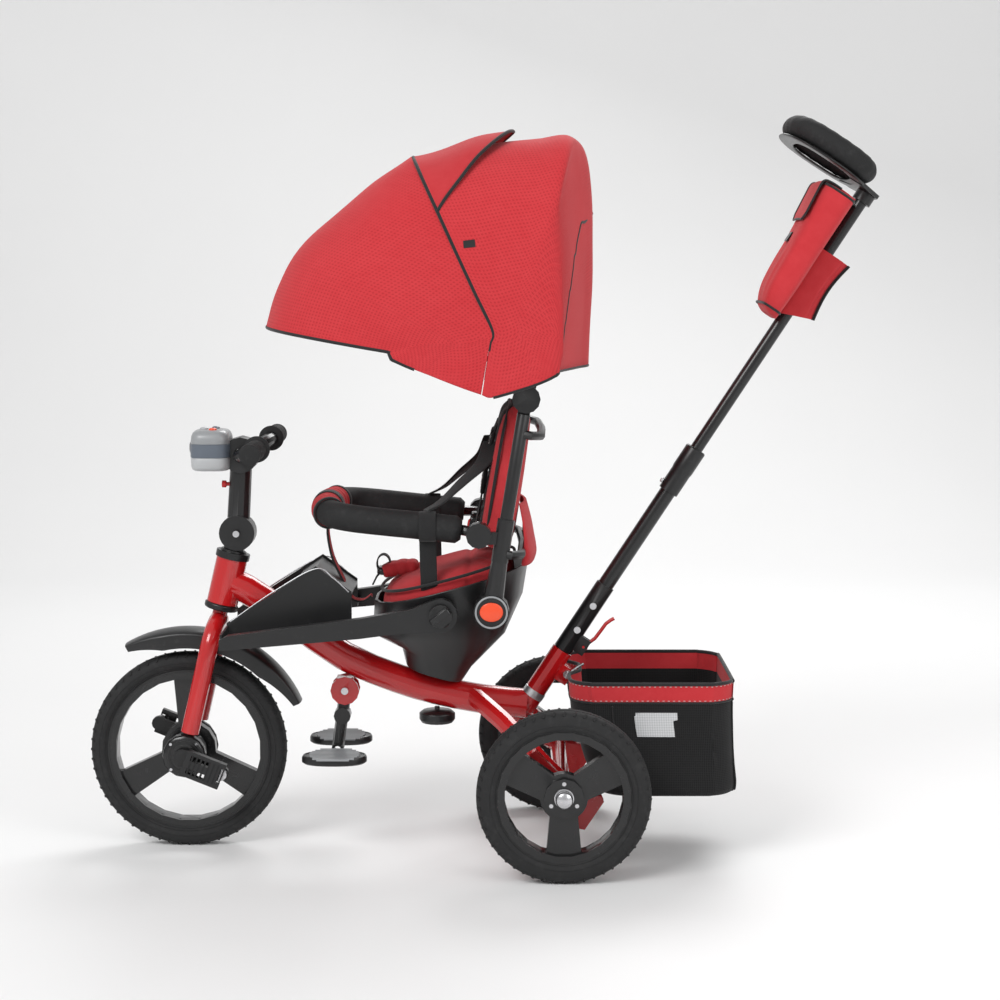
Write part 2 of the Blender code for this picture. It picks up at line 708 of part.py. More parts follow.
def pin_at():
    pivot, top = head(STEM_PIVOT_T), stem_head()
    return pivot + 0.62 * (top - pivot) + Vector((-0.0175, 0, 0))


def console_parts(top):
    middle = top + Vector((-0.0450, 0, 0.0115))
    shell = box((0.062, 0.080, 0.054), middle)
    add_bevel(shell, 0.012, 3)
    notch = cylinder(0.0275 + GAP, 0.0400 + 2 * GAP, top)
    window = box((0.016, 0.052, 0.024), middle + Vector((-0.031, 0, 0)))
    sole = box((0.024, 0.030, 0.010), middle + Vector((0.004, 0, -0.0300)))
    part(cut(union([to_mesh(shell), sole]), [notch, window]), "console", "handlebar", "grey_plastic")
    lens = box((0.0100, 0.052 - 2 * GAP, 0.024 - 2 * GAP), middle + Vector((-0.0285 + GAP, 0, 0)))
    part(lens, "console_lens", "handlebar", "lens")


# ---------------------------------------------------------------- seat and footrest
def seat_parts():
    base = SEAT_AT + Vector((0, 0, BEAM_R + GAP))
    wide = SEAT_HALF_W
    tilt = SEAT_TILT
    beam_slope = -math.radians(16.5)
    rim = base + Vector((0.0240, 0, 0.1534))
    outer = [(base + Vector((-0.003, 0, 0.0048)), 0.044, 0.046, beam_slope),
             (base + Vector((0.001, 0, 0.032)), 0.056, 0.060, beam_slope),
             (base + Vector((0.006, 0, 0.070)), 0.100, 0.72 * wide, 0.0),
             (base + Vector((0.019, 0, 0.112)), 0.116, 0.94 * wide, 0.7 * tilt),
             (rim, 0.1215, wide, tilt)]
    rings = [oval(c, a, b, slope) for c, a, b, slope in outer]
    wall = SHELL_WALL
    inner = [(rim, 0.1215 - wall, wide - wall, tilt),
             (base + Vector((0.019, 0, 0.112)), 0.116 - wall, 0.94 * wide - wall, 0.7 * tilt),
             (base + Vector((0.008, 0, 0.082)), 0.090 - wall, 0.66 * wide, 0.1)]
    rings += [oval(c, a, b, slope) for c, a, b, slope in inner]
    part(loft(rings), "seat_shell", "frame", "black_plastic")

    inset = 2 * wall + 0.003
    pad = [(base + Vector((0.010, 0, 0.092)), 0.074, 0.50 * wide, 0.1),
           (base + Vector((0.019, 0, 0.118)), 0.116 - inset, 0.94 * wide - inset, 0.7 * tilt),
           (rim + Vector((-0.004, 0, 0.008)), 0.1080 - wall, wide - inset, 0.8 * tilt),
           (rim + Vector((-0.006, 0, 0.022)), 0.0900, 0.80 * wide, 0.8 * tilt)]
    part(loft([oval(c, a, b, s, count=16) for c, a, b, s in pad]), "seat_cushion", "frame",
         "red_fabric")

    knob_top = SEAT_AT + Vector((0.001, 0, -BEAM_R - 0.0030))
    knob = turned([(0, 0), (0.004, 0), (0.004, -0.005), (0.022, -0.006), (0.0275, -0.010),
                   (0.0275, -0.020), (0.024, -0.025), (0, -0.025)], knob_top, Z)
    part(knob, "seat_knob", "seat_knob", "black_plastic")


def footrest_bar_y():
    return SEAT_HALF_W + 0.0020 + 0.5 * FOOTREST_BAR_W


def footrest_parts():
    """Two foot trays joined over the beam, hung from the seat's sides."""
    hinge = FOOTREST_PIVOT
    front = head(HEAD_HEIGHT).x + 0.0173 - hinge.x            # tray front, from the pivot
    bar_y = footrest_bar_y()
    wall_y = 0.068
    ring_r = 0.0250
    low, high = -0.0520, -0.0300
    pieces = []
    for _, side in SIDES:
        bar = arc((0, 0), ring_r, -100, 105, 8)
        bar += [(-0.045, 0.0085), (-0.118, -0.0045), (front + 0.012, high), (front, high - 0.006),
                (front, low), (-0.118, -0.0340), (-0.073, -0.0280)]
        pieces.append(plate(bar, 0.5 * FOOTREST_BAR_W, hinge + side * bar_y * Y))
        peak, rear = front + 0.1345, front + 0.1880
        wall = [(front, low), (front, high + 0.004), (peak, 0.0602), (rear, 0.0219), (rear, -0.0200)]
        pieces.append(plate(wall, 0.0015, hinge + side * wall_y * Y))
        floor = [(front, low), (rear, -0.0225), (rear, -0.0195), (front, low + 0.0030)]
        width = bar_y - 0.004 - wall_y
        pieces.append(plate(floor, 0.5 * width, hinge + side * (wall_y + 0.5 * width) * Y))
        lip = [(front, low), (front + 0.003, low), (front + 0.003, high), (front, high)]
        pieces.append(plate(lip, 0.5 * width, hinge + side * (wall_y + 0.5 * width) * Y))
    bridge = [(peak - 0.030, 0.0360), (peak, 0.0560), (rear, 0.0180), (rear, 0.0145), (peak, 0.0520),
              (peak - 0.030, 0.0325)]
    pieces.append(plate(bridge, wall_y, hinge))
    hole = cylinder(0.0055, 0.5, hinge)
    part(cut(union(pieces), [hole]), "footrest", "footrest", "black_plastic")

    face = bar_y + 0.5 * FOOTREST_BAR_W
    for name, side in SIDES:
        knob = turned([(0, 0.014), (0.0150, 0.014), (0.0175, 0.011), (0.0175, 0.0006),
                       (0.0050, 0.0006), (0.0050, -0.0140), (0, -0.0140)],
                      hinge + side * face * Y, side * Y)
        flutes = [box((0.040, 0.014, 0.011), hinge + side * (face + 0.0130) * Y
                      + k * 0.0105 * Vector((-0.6, 0, 0.8)), Quaternion(Y, -math.radians(37)))
                  for k in (-1, 1)]
        part(cut(to_mesh(knob), flutes), "footrest_knob_" + name, "footrest_knob_" + name,
             "black_plastic")


def foot_peg_parts():
    pivot = PEG_PIVOT
    foot = pivot + Vector((-0.0123, 0, -0.0924))
    rod_r = 0.0050
    pieces = [cylinder(0.0130, 0.0200, pivot),
              tube([pivot + Vector((-0.001, 0, -0.010)), foot], 0.0095, smooth=False),
              cylinder(0.0130, 0.0260, pivot + Vector((-0.0045, 0, -0.0400))),
              cylinder(0.0095, 0.0240, foot)]
    holes = [cylinder(0.004 + GAP, 0.05, pivot), cylinder(rod_r + GAP, 0.05, foot)]
    part(cut(union(pieces), holes), "peg_post", "foot_pegs", "red_paint")
    pads = [cylinder(rod_r, 0.0900, foot)]
    for _, side in SIDES:
        at = foot + side * 0.0720 * Y
        outline = [(0.049 * c, 0.0300 * s) for c, s in arc((0, 0), 1.0, 0, 345, 23)]
        pads.append(plate(outline, 0.0070, at, axis=Z))
    part(union(pads), "peg_pads", "foot_pegs", "grey_plastic")


# ---------------------------------------------------------------- backrest and armrest
def hub_faces():
    """Inner and outer face of a recline hub, from the middle."""
    return SEAT_HALF_W + 0.0025, POST_OFFSET + 0.0125


def backrest_parts():
    inner, outer = hub_faces()
    middle, half = 0.5 * (inner + outer), 0.5 * (outer - inner)
    pieces = []
    top = POST_LENGTH - 0.0225
    sleeve_s = (ARM_PIVOT - RECLINE_PIVOT).dot(POST_DIR) - 0.002
    for _, side in SIDES:
        at = post(sleeve_s, side * POST_OFFSET)
        lug_at = ARM_PIVOT + side * (POST_OFFSET + 0.0030) * Y
        pieces.append(cylinder(0.0125, 0.063, at, POST_DIR))
        pieces.append(cylinder(0.0185, 0.0160, lug_at))
        pieces.append(box((0.030, 0.012, 0.018), 0.5 * (at + lug_at)))
        pieces.append(cylinder(0.0045, 0.0230, lug_at - side * 0.0080 * Y))
        pieces.append(cylinder(RECLINE_HUB_R, 2 * half, RECLINE_PIVOT + side * middle * Y))
        flare = cylinder(0.0150, 0.060, post(0.046, side * POST_OFFSET), POST_DIR, top=0.0115)
        pieces.append(flare)
        pieces.append(cylinder(POST_R, top, post(0.5 * top, side * POST_OFFSET), POST_DIR,
                               segments=16))
        pieces.append(cylinder(0.0200, 0.0080, CANOPY_PIVOT + side * (POST_OFFSET - 0.0115) * Y))
        pieces.append(box((0.012, 0.018, 0.022), post(top - 0.004, side * (POST_OFFSET - 0.0095)),
                          turn_to(POST_DIR)))
    rails = [tube([post(s, -POST_OFFSET, b), post(s, -POST_OFFSET + 0.022, -0.030),
                   post(s, POST_OFFSET - 0.022, -0.030), post(s, POST_OFFSET, b)], 0.0065)
             for s, b in ((0.086, 0.0), (0.262, 0.0))]
    pockets = []
    for _, side in SIDES:
        pocket = cylinder(1.0, 0.0140, RECLINE_PIVOT + side * outer * Y, segments=24)
        pocket.scale = (0.0175, 0.0145, 1.0)
        pockets.append(pocket)
    part(cut(union(pieces + rails), pockets), "backrest_frame", "backrest", "black_plastic")

    for name, side in SIDES:
        button = turned([(0, 0.0020), (0.80, 0.0018), (1.0, 0.0004), (1.0, -0.0030), (0, -0.0030)],
                        RECLINE_PIVOT + side * outer * Y, side * Y, steps=24)
        button.scale = (0.0175 - GAP, 0.0145 - GAP, 1.0)
        part(button, "recline_button_" + name, "recline_button_" + name, "orange_plastic")

    foot = 0.0750
    rings = []
    for s, half_w, front, back in ((foot, 0.1150, 0.024, -0.010), (foot + 0.012, 0.126, 0.032, -0.020),
                                   (0.200, 0.126, 0.030, -0.019), (0.290, 0.118, 0.028, -0.016),
                                   (0.305, 0.100, 0.020, -0.008)):
        ring = []
        for k in range(16):
            a = 2 * math.pi * (k + 0.5) / 16
            c, q = math.cos(a), math.sin(a)
            depth = 0.5 * (front + back) + 0.5 * (front - back) * math.copysign(abs(c) ** 0.7, c)
            ring.append(post(s, half_w * math.copysign(abs(q) ** 0.7, q), depth + 0.003))
        rings.append(ring)
    part(loft(rings), "backrest_cushion", "backrest", "red_fabric")


def armrest_parts():
    """Foam-covered bar round the child, hinged on the post clamps."""
    rise = math.radians(6.0)
    along = Vector((-math.cos(rise), 0, math.sin(rise)))
    reach = 0.2310
    core_r = 0.0080
    core = mirrored([ARM_PIVOT + 0.026 * along - ARM_HALF_W * Y,
                     ARM_PIVOT + (reach - 0.050) * along - (ARM_HALF_W - 0.002) * Y,
                     ARM_PIVOT + (reach - 0.012) * along - (ARM_HALF_W - 0.030) * Y,
                     ARM_PIVOT + reach * along - 0.045 * Y,
                     ARM_PIVOT + reach * along])
    disc_y = POST_OFFSET - 0.0110
    start = ARM_PIVOT - disc_y * Y + 0.004 * along + 0.003 * Y
    whole = [start, *core, Vector((start.x, -start.y, start.z))]
    foam = cut(tube(core, ARM_FOAM_R), [tube(whole, core_r + GAP)])
    part(foam, "armrest_foam", "armrest", "foam")
    pieces = [tube(whole, core_r)]
    holes = []
    for _, side in SIDES:
        pieces.append(cylinder(0.0185, 0.0110, ARM_PIVOT + side * disc_y * Y))
        holes.append(cylinder(0.0045 + GAP, 0.05, ARM_PIVOT + side * disc_y * Y))
    part(cut(union(pieces), holes), "armrest_frame", "armrest", "black_tube")


# ---------------------------------------------------------------- canopy
def bow_point(angle, around, inset=0.0, radius=CANOPY_R, half_w=CANOPY_HALF_W):
    """Point on a bow leaning forward by angle; around runs from -1 (left) to 1 (right)."""
    a = 0.5 * math.pi * around
    s, c = math.sin(a), math.cos(a)
    y = (half_w - inset) * math.copysign(abs(s) ** 0.62, s)
    r = (radius - inset) * abs(c) ** 0.62
    return BOW_HUB + Vector((-r * math.sin(angle), y, r * math.cos(angle)))


def canopy_rows(angles, radii, low, hems, steps=10):
    """Rows of points over the hood: each bow angle has a radius, a lowest point and a hem below it."""
    rows = []
    for angle, radius, start, hem in zip(angles, radii, low, hems):
        row = [bow_point(math.radians(angle), start * (2 * k / steps - 1), radius=radius)
               for k in range(steps + 1)]
        rows.append(hemmed(row, hem))
    return rows


def hemmed(row, hem):
    """Carry both ends of a row down to the hem, given from the bow hub as (forward, down)."""
    ends = [BOW_HUB + Vector((-hem[0], side * CANOPY_HEM_HALF_W, -hem[1])) for side in (-1, 1)]
    return [ends[0], *row, ends[1]]


FRONT_BOW, MIDDLE_BOW, REAR_BOW = 61.0, 24.0, -14.0      # degrees forward of upright
BOW_R = 0.0040


def bow(angle, hub_y, end=0.955):
    """Round bow whose two ends run in to the bow hubs, at hub_y from the middle."""
    points = [BOW_HUB - hub_y * Y]
    points += [bow_point(math.radians(angle), end * (k / 5 - 1), inset=CLOTH + 0.0070)
               for k in range(11)]
    return tube([*points, BOW_HUB + hub_y * Y], BOW_R, smooth=False)


def canopy_parts():
    inner = POST_OFFSET - 0.0030
    arms = []
    for _, side in SIDES:
        disc_y = side * (inner + 0.0080)
        disc = cylinder(0.0205, 0.0130, CANOPY_PIVOT + disc_y * Y)
        hub_y = side * (inner + 0.0080)
        hub = cylinder(0.0150, 0.0150, BOW_HUB + hub_y * Y)
        link = tube([CANOPY_PIVOT + disc_y * Y, BOW_HUB + hub_y * Y], 0.0085, smooth=False)
        arms += [disc, hub, link]
    part(union([*arms, bow(REAR_BOW + 2.0, inner + 0.0080)]), "canopy_frame", "canopy", "black_plastic")
    middle_y = inner + 0.0155 + BOW_R + 0.0010
    part(bow(MIDDLE_BOW, middle_y), "canopy_middle_bow", "canopy", "black_tube")
    front_y = middle_y + 2 * BOW_R + GAP
    part(bow(FRONT_BOW, front_y), "canopy_front_bow", "canopy_front", "black_tube")

    split = MIDDLE_BOW + 1.0
    angles = [split, 16, 8, 0, -7, REAR_BOW]
    radii = [CANOPY_R, 0.9600 * CANOPY_R, 0.953 * CANOPY_R, 0.965 * CANOPY_R, 0.985 * CANOPY_R,
             1.02 * CANOPY_R]
    low = [0.955, 0.955, 0.955, 0.955, 0.955, 0.955]
    hems = [(0.0430, 0.0315), (0.0315, 0.0355), (0.0135, 0.0315), (-0.0065, 0.0255), (-0.0300, 0.0180),
            (-0.0490, 0.0105)]
    rows = canopy_rows(angles, radii, low, hems)
    rear = rows[-1][1:-1]
    back = []
    for drop, depth, hem in ((0.10, 0.028, (-0.0600, 0.0050)), (0.5, 0.036, (-0.0635, 0.0032)),
                             (1.0, 0.030, (-0.0655, 0.0012))):
        row = []
        for p in rear:
            bottom = BOW_HUB.z + 0.002
            z = p.z - drop * (p.z - bottom)
            reach = rear[5].x + depth - 0.25 * abs(p.y)
            row.append(Vector((max(reach, p.x + 0.002), 0.97 * p.y, z)))
        back.append(hemmed(row, hem))
    part(sheet(rows + back, CLOTH), "canopy_cover", "canopy", "red_fabric")

    angles = [80.5, 70.5, FRONT_BOW, 49, 37, split + 0.35]
    radii = [1.075 * CANOPY_R, 1.06 * CANOPY_R, 1.045 * CANOPY_R, 1.0 * CANOPY_R, 0.985 * CANOPY_R,
             CANOPY_R]
    low = [0.80, 0.88, 0.93, 0.945, 0.95, 0.955]
    hems = [(0.1715, -0.0190), (0.1470, -0.0080), (0.1190, 0.0030), (0.0940, 0.0130), (0.0690, 0.0225),
            (0.0442, 0.0310)]
    part(sheet(canopy_rows(angles, radii, low, hems), CLOTH), "canopy_visor", "canopy_front", "red_fabric")


# ---------------------------------------------------------------- push handle
def handle_parts():
    low, top = 0.0060, LOWER_POLE_TOP
    bore = LOWER_POLE_R - POLE_WALL
    half = 0.5 * (top - low)
    lower = turned([(bore, half), (LOWER_POLE_R, half), (LOWER_POLE_R, -half), (bore, -half)],
                   pole(low + half), POLE_DIR, steps=16, ring=True)
    part(lower, "lower_pole", "push_handle", "black_tube")

    clamp_from, clamp_to = SOCKET_LENGTH + 0.0010, 0.2080
    sleeve_half = 0.5 * (clamp_to - clamp_from)
    sleeve_at = pole(clamp_from + sleeve_half)
    sleeve = cylinder(0.0148, 2 * sleeve_half, sleeve_at, POLE_DIR)
    lug = [box((0.0050, 0.020, 0.026), lever_pin() + side * 0.0070 * Y
               + 0.004 * POLE_FRONT, turn_to(POLE_DIR)) for _, side in SIDES]
    bolts = [cylinder(0.0035, 0.034, pole(s), Y) for s in (0.128, 0.172)]
    inside = cylinder(LOWER_POLE_R + GAP, 0.3, sleeve_at, POLE_DIR, segments=16)
    solid = cut(union([sleeve, *lug, *bolts]), [inside, cylinder(0.0024, 0.04, lever_pin())])
    part(solid, "pole_sleeve", "push_handle", "black_plastic")
    lever = union([cylinder(0.0075, 0.0080, lever_pin()),
                   tube([lever_pin(), lever_pin() + 0.020 * POLE_DIR - 0.0085 * POLE_FRONT,
                         lever_pin() + 0.048 * POLE_DIR - 0.010 * POLE_FRONT,
                         lever_pin() + 0.062 * POLE_DIR - 0.016 * POLE_FRONT], 0.0028),
                   cylinder(0.0020, 0.0190, lever_pin())])
    part(lever, "pole_lever", "pole_lever", "red_plastic")

    grip_r = LOWER_POLE_R + GAP
    neck_r = UPPER_POLE_R + GAP
    thin, thick = LOWER_POLE_R + 0.0032, 0.0165
    skirt, shoulder, cap = -0.060, -0.020, 0.0180
    at = pole(top)
    collar = turned([(neck_r, cap), (thick - 0.002, cap), (thick, cap - 0.002), (thick, shoulder),
                     (thin, shoulder - 0.004), (thin, skirt), (grip_r, skirt), (grip_r, GAP),
                     (neck_r, GAP)], at, POLE_DIR, ring=True)
    pocket = cylinder(0.0046, 0.020, button_at() + 0.0088 * POLE_FRONT, POLE_FRONT)
    part(cut(to_mesh(collar), [pocket]), "pole_collar", "push_handle", "black_plastic")
    button = turned([(0, 0.0042), (0.0030, 0.0040), (0.0042, 0.0028), (0.0042, 0), (0, 0)],
                    button_at() + 0.0030 * POLE_FRONT, POLE_FRONT)
    part(button, "height_button", "height_button", "steel")
    skewer_parts()
    upper_handle_parts()


def button_at():
    """Foot of the height button's pocket, just clear of the lower pole."""
    return pole(LOWER_POLE_TOP - 0.050, LOWER_POLE_R + GAP)


def lever_pin():
    return pole(0.1100, -0.0235)


def skewer_parts():
    """Quick-release skewer through the split socket, with its bent wire lever."""
    at = skewer_at()
    rod = cylinder(0.0030, 0.036, at)
    heads = [cylinder(0.0065, 0.004, at + side * 0.0150 * Y) for _, side in SIDES]
    wire = tube([at - 0.0165 * Y, at - 0.0220 * Y + 0.006 * POLE_DIR - 0.001 * POLE_FRONT,
                 at - 0.0190 * Y + 0.018 * POLE_DIR - 0.006 * POLE_FRONT,
                 at - 0.0100 * Y + 0.026 * POLE_DIR - 0.012 * POLE_FRONT], 0.0020)
    part(union([rod, *heads, wire]), "socket_skewer", "socket_skewer", "steel")


def upper_handle_parts():
    low = LOWER_POLE_TOP - 0.2300
    top = POLE_LENGTH - 0.0040
    tube_piece = cylinder(UPPER_POLE_R, top - low, pole(0.5 * (top + low)), POLE_DIR, segments=16)
    part(tube_piece, "upper_pole", "upper_handle", "black_tube")

    loop_s = POLE_LENGTH + 0.0200
    centre, half_n, half_y, bar_r = 0.0830, 0.0610, 0.0800, 0.0170
    ring = [pole(loop_s, centre + half_n * math.copysign(abs(math.cos(a)) ** 0.75, math.cos(a)),
                 half_y * math.copysign(abs(math.sin(a)) ** 0.75, math.sin(a)))
            for a in (2 * math.pi * k / 20 for k in range(20))]
    grip = tube(ring, bar_r, closed=True, smooth=False)
    part(grip, "handle_grip", "upper_handle", "foam")
    outline = [(-0.016, 0.020), (-0.016, -0.020), (0.020, -0.055), (0.040, -0.050), (0.026, -0.016),
               (0.026, 0.016), (0.040, 0.050), (0.020, 0.055)]
    under = loop_s - bar_r - 0.0032
    yoke = loft([[pole(under + h, n, y) for n, y in outline] for h in (-0.0035, 0.0025)])
    cup = cylinder(0.0150, 0.020, pole(under - 0.0080), POLE_DIR)
    hole = cylinder(UPPER_POLE_R + GAP, 0.060, pole(top - 0.030 + GAP), POLE_DIR, segments=16)
    part(cut(union([yoke, cup]), [hole]), "handle_yoke", "upper_handle", "black_plastic")

    near = UPPER_POLE_R + 0.0015
    rings = []
    for s, front, half in ((0.685, 0.030, 0.040), (0.700, 0.046, 0.055), (0.800, 0.062, 0.066),
                           (0.885, 0.072, 0.070), (0.893, 0.070, 0.068)):
        rings.append([pole(s, n, y) for n, y in
                      ((near, -0.7 * half), (near + 0.010, -half), (front - 0.010, -half),
                       (front, -0.7 * half), (front, 0.7 * half), (front - 0.010, half),
                       (near + 0.010, half), (near, 0.7 * half))])
    part(loft(rings), "storage_bag", "upper_handle", "red_fabric")


# ---------------------------------------------------------------- brakes and basket
def brake_parts():
    """Red foot levers that rock on the ends of the axle tube, beside each rear wheel."""
    for name, side in SIDES:
        middle = AXLE_TUBE_HALF_W + 0.0190
        at = REAR_HUB + side * middle * Y
        collar = cylinder(0.0160, 0.0300, at)
        front_arm = plate([(-0.010, 0.006), (-0.006, 0.022), (-0.040, 0.058), (-0.050, 0.052)], 0.011, at)
        pedal = plate([(0.004, -0.014), (0.022, -0.058), (0.032, -0.060), (0.060, -0.018),
                       (0.056, -0.010), (0.012, -0.004)], 0.011, at)
        hole = cylinder(AXLE_R + GAP, 0.05, at)
        part(cut(union([collar, front_arm, pedal]), [hole]), "brake_lever_" + name,
             "brake_" + name, "red_plastic")


def basket_outline(low, high, half, inset):
    """Rounded rectangle with a notch in front that clears the push pole's clamp."""
    notch, radius = 0.0180, 0.045 - inset
    low, high, half = low + inset, high - inset, half - inset
    side = [(low + notch, 0.0), (low + notch, 0.028), (low, 0.056)]
    side += arc((low + radius, half - radius), radius, 180, 90, 4)
    side += arc((high - radius, half - radius), radius, 90, 0, 4)
    return side + [(x, -y) for x, y in reversed(side[1:])]


def basket_rings(inset):
    """Outline of the basket at its rim, waist and bottom, drawn in by inset."""
    front, back = 0.0100, 0.2560
    levels = ((0.276, front, back, BASKET_HALF_W), (0.215, front + 0.006, back, BASKET_HALF_W - 0.004),
              (0.150, front + 0.026, back + 0.003, BASKET_HALF_W - 0.008),
              (0.104, front + 0.042, back + 0.006, BASKET_HALF_W - 0.004))
    return [[Vector((x, y, z)) for x, y in basket_outline(low, high, half, inset)]
            for z, low, high, half in levels]


def basket_parts():
    outer, inner = basket_rings(0.0), basket_rings(BASKET_WALL)
    floor = [p + BASKET_WALL * Z for p in inner[-1]]
    body = loft(list(reversed(outer)) + inner[:-1] + [floor])
    part(body, "basket", "frame", "black_fabric")


# ---------------------------------------------------------------- assembly
def build_tree():
    TREE.body("frame")
    TREE.body("steering", head(HEAD_HEIGHT), "frame")
    TREE.body("handlebar", head(STEM_PIVOT_T), "steering")
    TREE.body("stem_lock_pin", pin_at(), "handlebar")
    TREE.body("front_wheel", FRONT_HUB, "steering")
    TREE.body("cranks", FRONT_HUB, "steering")
    for name, side in SIDES:
        TREE.body("pedal_spin_" + name, crank_end(side), "cranks")
        TREE.body("pedal_fold_" + name, fold_at(side), "pedal_spin_" + name)
        TREE.body("rear_wheel_" + name, REAR_HUB + side * HALF_TRACK * Y, "frame")
        TREE.body("brake_" + name, REAR_HUB + side * AXLE_TUBE_HALF_W * Y, "frame")
    TREE.body("seat_knob", SEAT_AT, "frame")
    TREE.body("foot_pegs", PEG_PIVOT, "frame")
    TREE.body("footrest", FOOTREST_PIVOT, "frame")
    TREE.body("backrest", RECLINE_PIVOT, "frame")
    TREE.body("armrest", ARM_PIVOT, "backrest")
    TREE.body("canopy", CANOPY_PIVOT, "backrest")
    TREE.body("canopy_front", BOW_HUB, "canopy")
    for name, side in SIDES:
        TREE.body("footrest_knob_" + name, FOOTREST_PIVOT + side * footrest_bar_y() * Y, "footrest")
        TREE.body("recline_button_" + name, RECLINE_PIVOT + side * hub_faces()[1] * Y, "backrest")
    TREE.body("push_handle", POLE_FOOT, "frame")
    TREE.body("socket_skewer", skewer_at(), "frame")
    TREE.body("pole_lever", lever_pin(), "push_handle")
    TREE.body("height_button", button_at(), "push_handle")
    TREE.body("upper_handle", pole(LOWER_POLE_TOP), "push_handle")


def centre_on_ground():
    """Shift the whole tree so that the origin is under the middle of the bounding box."""
    bpy.context.view_layer.update()
    depsgraph = bpy.context.evaluated_depsgraph_get()
    corners = []
    for obj in (piece for piece in PARTS.objects if piece.type == "MESH"):
        mesh = obj.evaluated_get(depsgraph).to_mesh()
        corners += [obj.matrix_world @ v.co for v in mesh.vertices]
    low = Vector(min(p[i] for p in corners) for i in range(3))
    high = Vector(max(p[i] for p in corners) for i in range(3))
    TREE.empty["frame"].location = -Vector((0.5 * (low.x + high.x), 0.5 * (low.y + high.y), low.z))
    bpy.context.view_layer.update()


def main():
    build_tree()
    frame_parts()
    front_wheel_parts()
    rear_wheel_parts()
    fork_parts()
    crank_parts()
    handlebar_parts()
    seat_parts()
    footrest_parts()
    foot_peg_parts()
    backrest_parts()
    armrest_parts()
    canopy_parts()
    handle_parts()
    brake_parts()
    basket_parts()
    centre_on_ground()


clear_scene()
MATERIALS = make_materials()
PARTS = collection("childrens_tricycle")
CUTTERS = collection("cutters", hidden=True)
TREE = Tree(PARTS)
main()
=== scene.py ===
"""Looks of a children's push tricycle, laid over its working frame.

Metres, +Z up; the front wheel points along -X and the left side is -Y. Every place below
is measured from the frame's joints and boxes, so the pieces follow the frame.
"""
import json
import math

import bmesh
import bpy
from bpy.props import FloatProperty, FloatVectorProperty, IntProperty, PointerProperty
from bpy.types import Operator, Panel, PropertyGroup
from mathutils import Matrix, Vector, noise


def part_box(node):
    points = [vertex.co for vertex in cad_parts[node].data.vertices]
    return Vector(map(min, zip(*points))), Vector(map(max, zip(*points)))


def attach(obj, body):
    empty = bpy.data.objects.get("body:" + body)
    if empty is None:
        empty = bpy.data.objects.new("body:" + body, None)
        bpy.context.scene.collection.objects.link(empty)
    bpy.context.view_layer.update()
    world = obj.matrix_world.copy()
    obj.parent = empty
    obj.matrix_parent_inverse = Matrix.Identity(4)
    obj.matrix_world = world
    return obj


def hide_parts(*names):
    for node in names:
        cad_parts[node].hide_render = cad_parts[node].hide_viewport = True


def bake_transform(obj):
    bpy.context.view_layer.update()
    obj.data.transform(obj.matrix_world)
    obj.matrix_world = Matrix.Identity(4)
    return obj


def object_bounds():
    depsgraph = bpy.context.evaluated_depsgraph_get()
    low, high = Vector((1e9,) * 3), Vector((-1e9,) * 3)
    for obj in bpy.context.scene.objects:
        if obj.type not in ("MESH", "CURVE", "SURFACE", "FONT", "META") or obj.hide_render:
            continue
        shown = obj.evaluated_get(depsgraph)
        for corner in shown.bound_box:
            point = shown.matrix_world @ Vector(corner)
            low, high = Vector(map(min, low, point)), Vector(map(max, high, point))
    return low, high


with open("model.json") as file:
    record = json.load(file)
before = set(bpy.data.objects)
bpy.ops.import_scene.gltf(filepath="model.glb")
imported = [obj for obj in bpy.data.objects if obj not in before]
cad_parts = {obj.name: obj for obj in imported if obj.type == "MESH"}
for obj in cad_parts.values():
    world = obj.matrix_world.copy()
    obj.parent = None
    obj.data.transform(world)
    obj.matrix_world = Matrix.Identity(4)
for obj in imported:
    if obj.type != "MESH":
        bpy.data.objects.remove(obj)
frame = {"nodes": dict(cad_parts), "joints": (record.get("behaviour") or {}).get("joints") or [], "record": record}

bl_info = {
    "name": "Push tricycle looks",
    "version": (1, 0, 0),
    "blender": (4, 5, 0),
    "location": "3D View > Sidebar > Tricycle",
    "description": "Makes the visible pieces and finishes of a children's push tricycle",
    "category": "Object",
}

CAD_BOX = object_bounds()

# ---------------------------------------------------------------- places read from the frame
X, Y, Z = Vector((1, 0, 0)), Vector((0, 1, 0)), Vector((0, 0, 1))
SIDES = (("left", -1), ("right", 1))
JOINTS = {j["name"]: j for j in frame["joints"]}


def joint_at(name):
    return Vector(JOINTS[name]["pos_m"])


def joint_axis(name):
    return Vector(JOINTS[name]["axis"]).normalized()


def middle_of(node):
    low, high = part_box(node)
    return 0.5 * (low + high)


def size_of(node):
    low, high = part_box(node)
    return high - low


FRONT_HUB = joint_at("front_wheel_spin")
REAR_HUB = {side: joint_at("rear_wheel_" + name + "_spin") for name, side in SIDES}
REAR_AXLE = 0.5 * (REAR_HUB[-1] + REAR_HUB[1])
POLE_FOOT = joint_at("push_handle_turn")
POLE_DIR = joint_axis("push_handle_turn")
POLE_FRONT = Vector((-POLE_DIR.z, 0, POLE_DIR.x))
RECLINE = joint_at("backrest_recline")
CANOPY_PIN = joint_at("canopy_tilt")
BOW_HUB = joint_at("canopy_front_fold")
POST_DIR = (CANOPY_PIN - RECLINE).normalized()
POST_FRONT = Vector((-POST_DIR.z, 0, POST_DIR.x))
ARM_PIN = joint_at("armrest_lift")
SEAT_AT = joint_at("seat_knob_turn")
STEM_PIN = joint_at("handlebar_fold")


def pole(s, forward=0.0, y=0.0):
    """Point on the push pole, s above the foot of its socket."""
    return POLE_FOOT + s * POLE_DIR + forward * POLE_FRONT + y * Y


